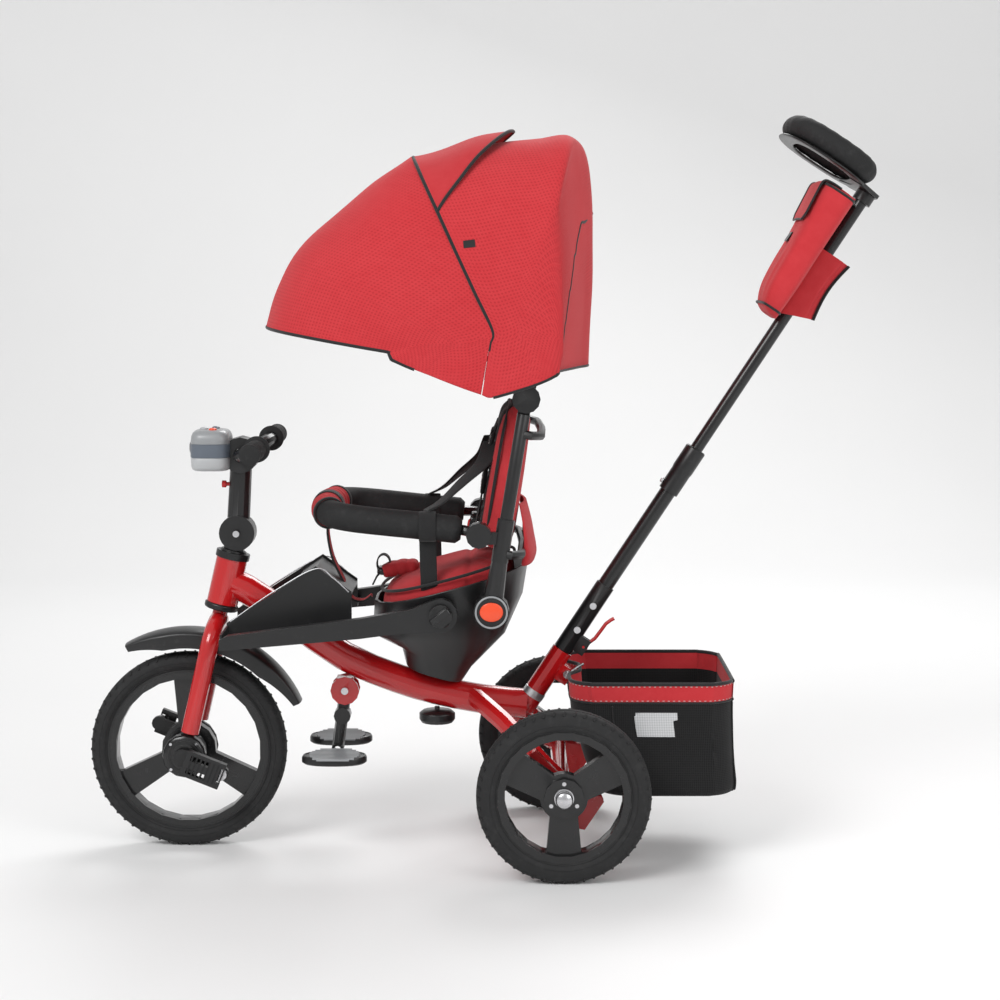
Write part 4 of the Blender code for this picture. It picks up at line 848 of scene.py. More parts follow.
def cloth_piece(name, grid, body, finishes, slot, replaces=(), wall=0.0016):
    """Sheet from a grid of points, with a UV map in metres and a wall on its inner side."""
    rows, columns = len(grid), len(grid[0])
    mesh = bpy.data.meshes.new(name)
    faces = []
    for i in range(rows - 1):
        for k in range(columns - 1):
            a = i * columns + k
            faces.append((a, a + 1, a + columns + 1, a + columns))
    mesh.from_pydata([tuple(p) for row in grid for p in row], [], faces)
    along = [[0.0] * columns for _ in range(rows)]
    down = [[0.0] * columns for _ in range(rows)]
    middle = columns // 2
    for i in range(rows):
        for k in range(middle + 1, columns):
            along[i][k] = along[i][k - 1] + (grid[i][k] - grid[i][k - 1]).length
        for k in range(middle - 1, -1, -1):
            along[i][k] = along[i][k + 1] - (grid[i][k] - grid[i][k + 1]).length
        if i:
            for k in range(columns):
                down[i][k] = down[i - 1][k] + (grid[i][k] - grid[i - 1][k]).length
    layer = mesh.uv_layers.new(name="cut")
    for loop in mesh.loops:
        i, k = divmod(loop.vertex_index, columns)
        layer.data[loop.index].uv = (along[i][k], down[i][k])
    area = sum(face.area for face in mesh.polygons)
    width = max(row[-1] - row[0] for row in along)
    length = max(down[-1])
    obj = piece(name, mesh, body, finishes, slot, replaces, sharp=60.0, wall=-wall, tidy=False)
    return obj, (width, length), area


def wrinkled(grid, depth, pitch, seed, hold=lambda p: 1.0):
    """Push a grid's points along its own outward side by soft noise."""
    out = []
    for i, row in enumerate(grid):
        line = []
        for k, p in enumerate(row):
            down = grid[min(i + 1, len(grid) - 1)][k] - grid[max(i - 1, 0)][k]
            side = row[min(k + 1, len(row) - 1)] - row[max(k - 1, 0)]
            normal = side.cross(down)
            normal = normal.normalized() if normal.length > 1e-9 else Z
            push = noise.noise((p + Vector((seed, 0, 0))) / pitch) * depth * hold(p)
            line.append(p + push * normal)
        out.append(line)
    return out


# ---------------------------------------------------------------- wheels
def tyre_piece(node, body, centre, rim_r, half, lugs):
    """Tyre with a bulged wall, rounded shoulders and two grooves round the tread."""
    low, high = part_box(node)
    outer = 0.5 * (high.z - low.z)
    side = [(rim_r - 0.0012, 0.80), (rim_r + 0.0015, 0.90), (rim_r + 0.0022, 0.86), (rim_r + 0.0050, 0.97),
            (rim_r + 0.0090, 1.0), (rim_r + 0.0094, 0.975), (rim_r + 0.0104, 0.975),
            (rim_r + 0.0108, 1.0), (outer - 0.0080, 0.97), (outer - 0.0045, 0.86), (outer - 0.0022, 0.70),
            (outer - 0.0008, 0.50), (outer - 0.0004, 0.34), (outer - 0.0026, 0.31),
            (outer - 0.0026, 0.23), (outer, 0.20), (outer, 0.05)]
    profile = [(r, half * share) for r, share in side]
    profile += [(r, -y) for r, y in reversed(profile)]
    shape = Shape().add(lathe(profile, centre, Y, 144, ring=True))
    piece(node + "_finished", shape, body, "tyre", "tyre", [node], sharp=32.0)
    places = []
    for k in range(lugs):
        for hand in (-1, 1):
            a = 2 * math.pi * (k + (0.5 if hand > 0 else 0.0)) / lugs
            out = Vector((math.cos(a), 0, math.sin(a)))
            around = Vector((-math.sin(a), 0, math.cos(a)))
            lift = (out * 0.80 + hand * 0.60 * Y).normalized()
            lie = (hand * Y * 0.80 - 0.60 * out).normalized()
            places.append((centre + (outer - 0.0034) * out + hand * half * 0.80 * Y,
                           frame_of(lie * 0.94 + around * 0.34, lift.cross(lie * 0.94 + around * 0.34))))
    repeated(node + "_lugs", "block", places, (0.0080, 0.0030, 0.0022), "tyre", body, smooth=False)


def face_of(node, centre, side, reach):
    """Outermost y of a node's surface within reach of an axle."""
    ys = [v.co.y for v in frame["nodes"][node].data.vertices
          if math.hypot(v.co.x - centre.x, v.co.z - centre.z) < reach]
    return max(ys) if side > 0 else min(ys)


class TRICYCLE_OT_wheels(Operator):
    """Tyres with their tread lugs, spoked rims, the front hub and chrome axle caps."""
    bl_idname = "tricycle.wheels"
    bl_label = "Wheels"

    def execute(self, context):
        lugs = context.scene.tricycle_sizes.lugs
        front_half = 0.5 * size_of("front_tyre").y
        tyre_piece("front_tyre", "front_wheel", FRONT_HUB, 0.1250, front_half, lugs)
        refined("front_rim", "gloss_black", 0.0022)
        refined("front_hub", "gloss_black", 0.0010)
        ring = Shape()
        for side in (-1, 1):
            ring.add(lathe([(0.1205, -0.0004), (0.1205, 0.0006), (0.1225, 0.0010), (0.1238, 0.0004),
                            (0.1238, -0.0004)], FRONT_HUB + side * 0.0160 * Y, side * Y, 96, ring=True))
        piece("front_rim_edge", ring, "front_wheel", "black_plastic", "black_plastic")
        for name, side in SIDES:
            centre = REAR_HUB[side]
            half = 0.5 * size_of("rear_tyre_" + name).y
            tyre_piece("rear_tyre_" + name, "rear_wheel_" + name, centre, 0.0970, half, lugs - 8)
            refined("rear_rim_" + name, "gloss_black", 0.0020)
            face = face_of("rear_rim_" + name, centre, side, 0.024)
            at = Vector((centre.x, face, centre.z))
            cap = Shape().add(lathe([(0, 0.0078), (0.0040, 0.0076), (0.0082, 0.0064), (0.0112, 0.0042),
                                     (0.0128, 0.0016), (0.0142, 0.0012), (0.0146, 0.0004),
                                     (0.0146, -0.0012), (0, -0.0012)], at, side * Y, 48))
            piece("hub_cap_" + name, cap, "rear_wheel_" + name, "steel", "steel")
            screws("rim_screws_" + name, [(at + 0.0215 * Vector((math.cos(a), 0, math.sin(a))), side * Y)
                                          for a in (math.radians(90 + 120 * k) for k in range(3))],
                   0.0030, 0.0020, "steel", "rear_wheel_" + name)
        refined("rear_axle", "steel", 0.0003)
        return {"FINISHED"}


# ---------------------------------------------------------------- frame, fork and steering
class TRICYCLE_OT_frame(Operator):
    """Painted tubes of the frame, headset, peg bracket, socket band and frame screws."""
    bl_idname = "tricycle.frame"
    bl_label = "Frame"

    def execute(self, context):
        refined("main_frame", "red_paint", 0.0005, 30.0)
        refined("headset_cup", "black_plastic", 0.0006)
        refined("peg_bracket", "red_paint", 0.0008)
        band = Shape().add(lathe([(0.0163, -0.006), (0.0170, -0.0056), (0.0172, 0.0), (0.0170, 0.0056),
                                  (0.0163, 0.006)], pole(0.0080), POLE_DIR, 64, ring=True))
        piece("socket_band", band, "frame", "silver_band", "steel")
        bracket = middle_of("peg_bracket")
        half = 0.5 * size_of("peg_bracket").y
        screws("bracket_screws", [(bracket + side * half * Y, side * Y) for side in (-1, 1)],
               0.0055, 0.0030, "steel", "frame")
        return {"FINISHED"}


def fender_piece():
    """Deep-sided mudguard over the front tyre, one moulded shell of even wall."""
    top_r, wall = 0.1890, 0.0024
    rings = []
    rows = 64
    for i in range(rows):
        f = i / (rows - 1)
        angle = math.radians(120 - 97 * f)
        size = min(1.0, 0.42 + 3.2 * min(f, 0.75 * (1 - f)))
        half_w = 0.0305 * (0.55 + 0.45 * size)
        skirt = 0.029 * size
        outer = []
        for k in range(25):
            u = -1 + 2 * k / 24
            side = abs(u)
            if side > 0.55:
                drop = (side - 0.55) / 0.45
                y, r = half_w, -0.30 * skirt - 0.70 * skirt * drop
            else:
                a = 0.5 * math.pi * side / 0.55
                y, r = half_w * math.sin(a) ** 0.85, -0.30 * skirt * (1 - math.cos(a)) ** 0.85
            outer.append((math.copysign(y, u), r))
        inner = [(y * (1 - wall / half_w), r if abs(y) > 0.98 * half_w else r - wall)
                 for y, r in reversed(outer)]
        out = Vector((math.cos(angle), 0, math.sin(angle)))
        rings.append([FRONT_HUB + (top_r + r) * out + y * Y for y, r in outer + inner])
    shape = Shape().add(skin(rings))
    return piece("front_fender_finished", shape, "steering", "black_plastic", "black_plastic",
                 ["front_fender"], sharp=50.0)


class TRICYCLE_OT_fork(Operator):
    """Wishbone fork, its round axle covers, the mudguard, crank arms and pedals."""
    bl_idname = "tricycle.fork"
    bl_label = "Fork and pedals"

    def execute(self, context):
        refined("fork", "red_paint", 0.0005, 30.0)
        fender_piece()
        for name, side in SIDES:
            refined("fork_cover_" + name, "gloss_black", 0.0030)
            face = face_of("fork_cover_" + name, FRONT_HUB, side, 0.034)
            ring = Shape().add(lathe([(0.0200, -0.0006), (0.0203, 0.0005), (0.0222, 0.0009),
                                      (0.0242, 0.0005), (0.0245, -0.0006)],
                                     Vector((FRONT_HUB.x, face, FRONT_HUB.z)), side * Y, 64, ring=True))
            piece("fork_cover_ring_" + name, ring, "steering", "black_plastic", "black_plastic")
            screws("fork_cover_screws_" + name,
                   [(Vector((FRONT_HUB.x, face, FRONT_HUB.z))
                     + 0.0275 * Vector((math.cos(a), 0, math.sin(a))), side * Y)
                    for a in (math.radians(45 + 90 * k) for k in range(4))],
                   0.0022, 0.0014, "steel", "steering")
            refined("pedal_axle_" + name, "steel", 0.0003)
            refined("pedal_" + name, "black_plastic", 0.0012)
            self.tread(name, side)
        refined("crank_set", "black_plastic", 0.0012)
        return {"FINISHED"}

    def tread(self, name, side):
        """Raised grip ribs on both faces of a pedal."""
        end = joint_at("pedal_spin_" + name + "_turn")
        arm = (end - FRONT_HUB)
        arm = Vector((arm.x, 0, arm.z)).normalized()
        square = Vector((-arm.z, 0, arm.x))
        middle = joint_at("pedal_fold_" + name + "_turn") - 0.027 * arm + side * 0.004 * Y
        places = []
        for step in range(-3, 4):
            for face in (-1, 1):
                places.append((middle + 0.0068 * step * arm + face * 0.0062 * Y, frame_of(square, arm)))
        repeated("pedal_ribs_" + name, "block", places, (0.0300, 0.0026, 0.0016), "grip_rubber",
                 "pedal_fold_" + name, smooth=False)


class TRICYCLE_OT_handlebar(Operator):
    """Stem, bar, ribbed grips with flanges, toy console with its lens and buttons."""
    bl_idname = "tricycle.handlebar"
    bl_label = "Handlebar"

    def execute(self, context):
        refined("stem_joint", "black_plastic", 0.0014)
        refined("stem_post", "black_plastic", 0.0014)
        refined("handlebar_tube", "black_tube", 0.0003, 30.0)
        refined("stem_lock_pin", "red_plastic", 0.0004)
        screws("stem_screws", [(STEM_PIN + side * 0.5 * size_of("stem_joint").y * Y, side * Y)
                               for side in (-1, 1)], 0.0050, 0.0024, "steel", "handlebar")
        for name, side in SIDES:
            self.grip(name, side)
        self.console()
        return {"FINISHED"}

    def grip(self, name, side):
        low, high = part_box("handlebar_grip_" + name)
        near, far = sorted((abs(low.y), abs(high.y)))
        axis_at = Vector((0.5 * (low.x + high.x), 0, 0.5 * (low.z + high.z)))
        flange_r = 0.5 * (high.z - low.z)
        bar_end = abs(face_of("handlebar_tube", axis_at, side, 0.0110))
        bore, body_r = 0.0103, 0.0143
        end = max(far, bar_end + 0.0015)
        profile = [(0, end), (body_r - 0.0030, end), (body_r + 0.0008, end - 0.0012),
                   (body_r + 0.0012, end - 0.0050), (body_r, end - 0.0068)]
        ribs = 15
        start, stop = near + 0.0105, end - 0.0080
        for k in range(ribs):
            a = stop - (stop - start) * k / ribs
            b = stop - (stop - start) * (k + 1) / ribs
            wide = body_r + 0.0007 * math.sin(math.pi * (k + 0.5) / ribs)
            profile += [(wide - 0.0011, a - 0.0004), (wide, a - 0.0012), (wide, b + 0.0010),
                        (wide - 0.0011, b + 0.0002)]
        profile += [(flange_r - 0.0030, near + 0.0070), (flange_r, near + 0.0052), (flange_r, near + 0.0018),
                    (flange_r - 0.0020, near), (bore, near), (bore, bar_end + 0.0003), (0, bar_end + 0.0003)]
        shape = Shape().add(lathe(profile, axis_at, side * Y, 56))
        piece("grip_" + name, shape, "handlebar", "grip_rubber", slot_of_node("handlebar_grip_" + name),
              ["handlebar_grip_" + name], sharp=45.0)

    def console(self):
        low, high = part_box("console")
        middle, size = 0.5 * (low + high), high - low
        shape = Shape()
        levels = [(-0.500, 0.70, 0), (-0.490, 0.82, 0), (-0.455, 0.92, 0), (-0.38, 0.965, 0),
                  (-0.18, 0.985, 0), (-0.165, 0.965, 1), (-0.155, 0.995, 1), (0.0, 1.0, 1),
                  (0.155, 0.995, 1), (0.165, 0.965, 2), (0.18, 0.985, 2), (0.34, 0.955, 2),
                  (0.43, 0.88, 2), (0.48, 0.76, 2), (0.500, 0.62, 2)]
        rings = [[middle + Vector((0.5 * size.x * share * a, 0.5 * size.y * share * b, size.z * h))
                  for a, b in rounded(64, 0.55)] for h, share, _ in levels]
        verts, faces = skin(rings)
        shape.add((verts, faces))
        for index, face in enumerate(faces):
            row = min(min(face) // 64, len(levels) - 1) if len(face) == 4 else (0 if 0 in face else -1)
            shape.wears[index] = levels[row][2]
        piece("console_finished", shape, "handlebar", ["pale_plastic", "blue_grey", "grey_plastic"],
              "grey_plastic", ["console"], sharp=50.0)
        low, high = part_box("console_lens")
        middle, size = 0.5 * (low + high), high - low
        glass = Shape()
        rings = []
        for share, out in ((0.92, 0.50), (1.0, 0.30), (1.0, 0.05), (0.90, -0.22), (0.72, -0.38),
                           (0.45, -0.47), (0.15, -0.50)):
            rings.append([middle + Vector((size.x * out, 0.5 * size.y * share * a,
                                           0.5 * size.z * share * b)) for a, b in rounded(40, 0.7)])
        glass.add(skin(rings))
        piece("console_lens_finished", glass, "handlebar", "lens", "lens", ["console_lens"], sharp=60.0)
        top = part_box("console")[1].z
        centre = middle_of("console")
        for k, (finish, dx, dy) in enumerate((("orange_plastic", 0.004, -0.018), ("blue_grey", 0.004, 0.018),
                                              ("pale_plastic", -0.012, 0.0))):
            knob = Shape().add(lathe([(0, 0.0042), (0.0035, 0.0040), (0.0058, 0.0028), (0.0064, 0.0006),
                                      (0.0064, -0.0030), (0, -0.0030)],
                                     Vector((centre.x + dx, dy, top - 0.0010)), Z, 32))
            piece("console_button_%d" % k, knob, "handlebar", finish, "grey_plastic")


class TRICYCLE_OT_footwork(Operator):
    """Foot pegs, footrest with bright silver lines along its edges as painted highlights, clamp knobs and brake
    levers.
    """
    bl_idname = "tricycle.footwork"
    bl_label = "Foot pegs, footrest and brakes"

    def execute(self, context):
        refined("peg_post", "black_tube", 0.0004)
        self.pegs()
        refined("footrest", "black_plastic", 0.0016)
        for name, side in SIDES:
            refined("footrest_knob_" + name, "gloss_black", 0.0010)
            refined("brake_lever_" + name, "red_plastic", 0.0020)
            self.brake_grip(name, side)
        self.painted_highlight_lines()
        return {"FINISHED"}

    def pegs(self):
        low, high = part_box("peg_pads")
        z = 0.5 * (low.z + high.z)
        x = 0.5 * (low.x + high.x)
        from_middle = 0.072
        half_x, half_y, half_z = 0.5 * (high.x - low.x), high.y - from_middle, 0.5 * (high.z - low.z)
        pads, ribs = Shape(), []
        for side in (-1, 1):
            at = Vector((x, side * from_middle, z))
            rings = []
            for share, h in ((0.80, -1.0), (0.93, -0.90), (1.0, -0.55), (1.0, 0.35), (0.965, 0.78),
                             (0.92, 0.86), (0.90, 0.70), (0.55, 0.72)):
                rings.append([at + Vector((half_x * share * a, half_y * share * b, half_z * h))
                              for a, b in rounded(48, 0.85)])
            pads.add(skin(rings))
            for k in range(-4, 5):
                width = math.sqrt(max(0.0, 1 - (k / 5.2) ** 2)) * half_x * 1.55
                ribs.append((at + Vector((0, 0.0088 * k, half_z * 0.80)), width))
        piece("peg_pads_finished", pads, "foot_pegs", "black_plastic", "black_plastic", ["peg_pads"],
              sharp=45.0)
        for width in sorted({round(w, 4) for _, w in ribs}):
            places = [(p, frame_of(X, Y)) for p, w in ribs if round(w, 4) == width]
            repeated("peg_ribs_%d" % round(10000 * width), "block", places, (width, 0.0042, 0.0030),
                     "grey_plastic", "foot_pegs", smooth=False)

    def brake_grip(self, name, side):
        node = "brake_lever_" + name
        low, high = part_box(node)
        y = 0.5 * (low.y + high.y)
        centre = REAR_HUB[side]
        start, end = Vector((0.022, 0, -0.058)), Vector((0.056, 0, -0.010))
        run = (end - start)
        ribs = []
        for k in range(1, 8):
            p = start + run * (k / 8)
            out = Vector((run.z, 0, -run.x)).normalized()
            ribs.append((Vector((centre.x, y, centre.z)) + p + 0.0060 * out, frame_of(Y, run)))
        repeated("brake_ribs_" + name, "block", ribs, (0.0180, 0.0022, 0.0014), "red_plastic",
                 "brake_" + name, smooth=False)

    def painted_highlight_lines(self):
        """Painted highlights: thin bright silver lines along the inner edges of the footrest's two trays, where
        light catches them.
        """
        pin = joint_at("footrest_tilt")
        shape = Shape()
        for side in (-1, 1):
            y = side * 0.0690
            path = even_path([pin + Vector((x, 0, z)) + y * Y for x, z in
                              ((-0.3180, -0.0240), (-0.255, 0.0200), (-0.1900, 0.0560),
                               (-0.1630, 0.0420), (-0.1400, 0.0210))], 60)
            shape.add(pipe(path, 0.0011, 8))
        # These silver lines are painted highlights on the tray edges, not a part of the footrest itself.
        piece("footrest_painted_highlights", shape, "footrest", "silver_band", "steel", sharp=60.0)


# ---------------------------------------------------------------- seat, backrest and armrest
def seat_base():
    return SEAT_AT + Vector((0, 0, 0.0229))


def seat_rim():
    return seat_base() + Vector((0.0240, 0, 0.1534))


def seat_oval(centre, half_x, half_y, slope, count=48, power=0.8):
    """Rounded ring of a seat, leaning back by slope."""
    ring = []
    for a, b in rounded(count, power):
        ring.append(Vector((centre.x + half_x * a, half_y * b, centre.z + half_x * a * math.tan(slope))))
    return ring


class TRICYCLE_OT_seat(Operator):
    """Seat shell with its knob, plump seat cushion with piping, harness roll and buckle."""
    bl_idname = "tricycle.seat"
    bl_label = "Seat"

    def execute(self, context):
        refined("seat_shell", "black_plastic", 0.0012, 50.0)
        refined("seat_knob", "black_plastic", 0.0010)
        self.cushion()
        self.harness_end()
        return {"FINISHED"}

    def cushion(self):
        base = seat_base()
        rim = seat_rim()
        lean = math.radians(14.9)
        rings = []
        for at, half_x, half_y, slope in (
                (base + Vector((0.010, 0, 0.0950)), 0.060, 0.060, 0.10),
                (base + Vector((0.0135, 0, 0.1010)), 0.080, 0.084, 0.14),
                (base + Vector((0.0180, 0, 0.1180)), 0.0985, 0.1180, 0.8 * lean),
                (rim + Vector((-0.0045, 0, 0.0040)), 0.1000, 0.1280, lean),
                (rim + Vector((-0.0050, 0, 0.0130)), 0.0960, 0.1240, lean),
                (rim + Vector((-0.0060, 0, 0.0190)), 0.0800, 0.1060, lean),
                (rim + Vector((-0.0060, 0, 0.0200)), 0.0450, 0.0620, lean)):
            rings.append(seat_oval(at, half_x, half_y, slope))
        mesh = plump("seat_cushion_finished", Shape().add(skin(rings)), cap=0.005)
        top = rim.z + 0.008

        def seams(p):
            """Two sewn channels across the seat."""
            if p.z < top - 0.004:
                return 0.0
            return 0.0040 * max(groove(p.x - (rim.x - 0.036), 0.0035), groove(p.x - (rim.x + 0.028), 0.0035))
        dent(mesh, seams)
        obj = piece("seat_cushion_finished", mesh, "frame", "red_pad", "red_fabric", ["seat_cushion"],
                    sharp=70.0, tidy=False, smooth=1)
        edge = seat_oval(rim + Vector((-0.0050, 0, 0.0125)), 0.1010, 0.1295, lean, 96)
        bound = pipe(edge, bpy.context.scene.tricycle_sizes.piping, 10, closed=True)
        piece("seat_piping", Shape().add(bound), "frame", "piping", "black_fabric", sharp=80.0)

    def harness_end(self):
        """Red roll and black buckle of the harness, lying on the front of the seat."""
        rim = seat_rim()
        half = 0.5 * bpy.context.scene.tricycle_sizes.webbing
        path = even_path([rim + Vector((-0.050, 0, 0.0150)), rim + Vector((-0.072, 0, 0.0150)),
                          rim + Vector((-0.094, 0, 0.0110)), rim + Vector((-0.106, 0, 0.0060))], 70)

        def size(f):
            fold = 0.90 + 0.10 * abs(math.sin(3.5 * math.pi * f))
            end = math.sqrt(clamp01(1 - (2 * f - 1) ** 8)) * 0.75 + 0.25
            return 0.0230 * fold * end, 0.0110 * fold * end
        roll = piece("harness_roll", Shape().add(pipe(path, size, 28, up=Z)), "frame", "red_pad",
                     "red_fabric", sharp=80.0)
        web = Shape().add(pipe(even_path([rim + Vector((-0.104, 0, 0.0080)),
                                          rim + Vector((-0.113, 0, 0.0020)),
                                          rim + Vector((-0.1205, 0, -0.0120))], 24),
                               lambda f: (half, 0.0014), 14, up=lambda f: Vector((-f, 0, 1.1 - f))))
        loop = [rim + Vector((-0.104 + 0.010 * math.cos(a), 0, 0.0200 + 0.0140 * math.sin(a)))
                for a in (2 * math.pi * k / 40 for k in range(40))]
        web.add(pipe(loop, lambda f: (0.9 * half, 0.0012), 14, closed=True, up=lambda f: Vector(
            (math.cos(2 * math.pi * f * 39 / 40), 0, math.sin(2 * math.pi * f * 39 / 40)))))
        piece("harness_web", web, "frame", "webbing", "black_fabric", sharp=60.0)
        rings = [[rim + Vector((-0.1040 + 0.0100 * share * a, 0.0190 * share * b, 0.0040 + lift))
                  for a, b in rounded(40, 0.6)]
                 for share, lift in ((0.8, 0.0), (1.0, 0.0020), (1.0, 0.0080), (0.9, 0.0105), (0.7, 0.0115))]
        piece("seat_buckle", Shape().add(skin(rings)), "frame", "gloss_black", "black_plastic", sharp=50.0)


class TRICYCLE_OT_backrest(Operator):
    """Backrest posts, plump cushion with piping, shoulder straps, buckle and rear pocket."""
    bl_idname = "tricycle.backrest"
    bl_label = "Backrest"

    def execute(self, context):
        refined("backrest_frame", "black_plastic", 0.0012)
        for name, side in SIDES:
            refined("recline_button_" + name, "orange_plastic", 0.0004)
            face = face_of("backrest_frame", RECLINE, side, 0.027)
            ring = Shape()
            centre = Vector((RECLINE.x, face, RECLINE.z))
            ring.add(lathe([(0.0212, -0.0006), (0.0214, 0.0005), (0.0226, 0.0010), (0.0238, 0.0005),
                            (0.0240, -0.0006)], centre, side * Y, 64, ring=True))
            piece("recline_ring_" + name, ring, "backrest", "grey_plastic", "grey_plastic")
        self.cushion()
        self.harness()
        self.apron()
        return {"FINISHED"}

    def apron(self):
        """Red flared pocket behind the foot of the backrest."""
        levels = [(0.0630, 0.0980, -0.0430, -0.0500), (0.0680, 0.1120, -0.0400, -0.0550),
                  (0.0820, 0.1150, -0.0400, -0.0560), (0.1000, 0.1100, -0.0390, -0.0500),
                  (0.1250, 0.0960, -0.0340, -0.0410), (0.1520, 0.0780, -0.0250, -0.0290)]
        rings = []
        for s, half_w, front, back in between(levels, 30):
            middle, depth = 0.5 * (front + back), 0.5 * (front - back)
            rings.append([post(s, half_w * b, middle + depth * a + 0.010 * (abs(b) ** 2))
                          for a, b in rounded(64, 0.55)])
        pocket = piece("backrest_pocket", Shape().add(skin(rings)), "backrest", "red_pad", "red_fabric",
                       sharp=70.0)

    def cushion(self):
        levels = [(0.0790, 0.0980, 0.0190, -0.0060), (0.0850, 0.1140, 0.0260, -0.0130),
                  (0.1050, 0.1210, 0.0290, -0.0160), (0.1500, 0.1225, 0.0290, -0.0160),
                  (0.2000, 0.1220, 0.0285, -0.0155), (0.2500, 0.1180, 0.0270, -0.0140),
                  (0.2860, 0.1110, 0.0240, -0.0120), (0.3010, 0.0940, 0.0170, -0.0060)]
        rings = []
        for s, half_w, front, back in levels:
            middle, half = 0.5 * (front + back) + 0.003, 0.5 * (front - back)
            rings.append([post(s, half_w * b, middle + half * a) for a, b in rounded(56, 0.62)])
        mesh = plump("backrest_cushion_finished", Shape().add(skin(rings)), cap=0.005)

        def measures(p):
            local = p - RECLINE
            return local.dot(POST_DIR), p.y, local.dot(POST_FRONT)

        def seams(p):
            s, y, out = measures(p)
            if out < 0.016:
                return 0.0
            channels = max(groove(s - level, 0.0035) for level in (0.135, 0.185, 0.235))
            edge = groove(abs(y) - 0.078, 0.0030)
            return 0.0042 * max(channels if abs(y) < 0.078 else 0.0, edge)
        dent(mesh, seams)
        obj = piece("backrest_cushion_finished", mesh, "backrest", ["red_pad", "black_pad"], "red_fabric",
                    ["backrest_cushion"], sharp=70.0, tidy=False, smooth=1)
        for face in mesh.polygons:
            s, y, out = measures(face.center)
            face.material_index = 1 if out > 0.014 and abs(y) < 0.078 else 0
        edge = [post(0.1900 + 0.1060 * b, 0.1120 * a, 0.0250 - 0.0045 * abs(b) ** 4)
                for a, b in rounded(120, 0.50)]
        piece("backrest_piping", Shape().add(pipe(edge, bpy.context.scene.tricycle_sizes.piping, 10,
                                                  closed=True)),
              "backrest", "piping", "black_fabric", sharp=80.0)

    def harness(self):
        """Two shoulder straps down the front of the cushion, with a buckle at the waist."""
        half = 0.5 * bpy.context.scene.tricycle_sizes.webbing
        web, lines = Shape(), []
        for side in (-1, 1):
            path = even_path([post(0.262, side * 0.046, 0.0335), post(0.235, side * 0.050, 0.0385),
                              post(0.185, side * 0.048, 0.0400), post(0.135, side * 0.036, 0.0400),
                              post(0.100, side * 0.016, 0.0430)], 60)
            web.add(pipe(path, lambda f: (half * (1.35 if 0.1 < f < 0.62 else 1.0),
                                          0.0036 if 0.1 < f < 0.62 else 0.0012),
                         14, up=lambda f: POST_FRONT))
            for edge in (-1, 1):
                lines.append([p + edge * 0.80 * 1.35 * half * Y + 0.0034 * POST_FRONT
                              for p in path[7:36]])
        piece("shoulder_straps", web, "backrest", "black_pad", "black_fabric", sharp=60.0)
        side_web = Shape()
        for side in (-1, 1):
            path = even_path([post(0.235, side * 0.060, 0.0380), post(0.205, side * 0.084, 0.0460),
                              ARM_PIN + Vector((-0.026, side * 0.103, 0.0700)),
                              ARM_PIN + Vector((-0.056, side * 0.114, 0.0430)),
                              ARM_PIN + Vector((-0.078, side * 0.122, 0.0310))], 60)
            side_web.add(pipe(path, lambda f: (1.15 * half, 0.0018), 14,
                              up=lambda f, side=side: Vector((-0.25, 0.55 * side * (1 - f), 1.0))))
        piece("side_straps", side_web, "backrest", "webbing", "black_fabric", sharp=60.0)
        stitches("strap_stitches", lines, lambda p, d: POST_FRONT, "backrest")
        buckle = Shape()
        rings = []
        for share, out in ((0.80, 0.0), (0.98, 0.0015), (1.0, 0.0050), (0.96, 0.0090), (0.80, 0.0108)):
            rings.append([post(0.100 + 0.021 * share * b, 0.0230 * share * a, 0.0405 + out)
                          for a, b in rounded(40, 0.6)])
        buckle.add(skin(rings))
        piece("harness_buckle", buckle, "backrest", "gloss_black", "black_plastic", sharp=50.0)
        button = Shape().add(lathe([(0, 0.0030), (0.0060, 0.0028), (0.0085, 0.0014), (0.0090, -0.0020),
                                    (0, -0.0020)], post(0.100, 0, 0.0512), POST_FRONT, 40))
        piece("harness_button", button, "backrest", "red_plastic", "red_plastic")


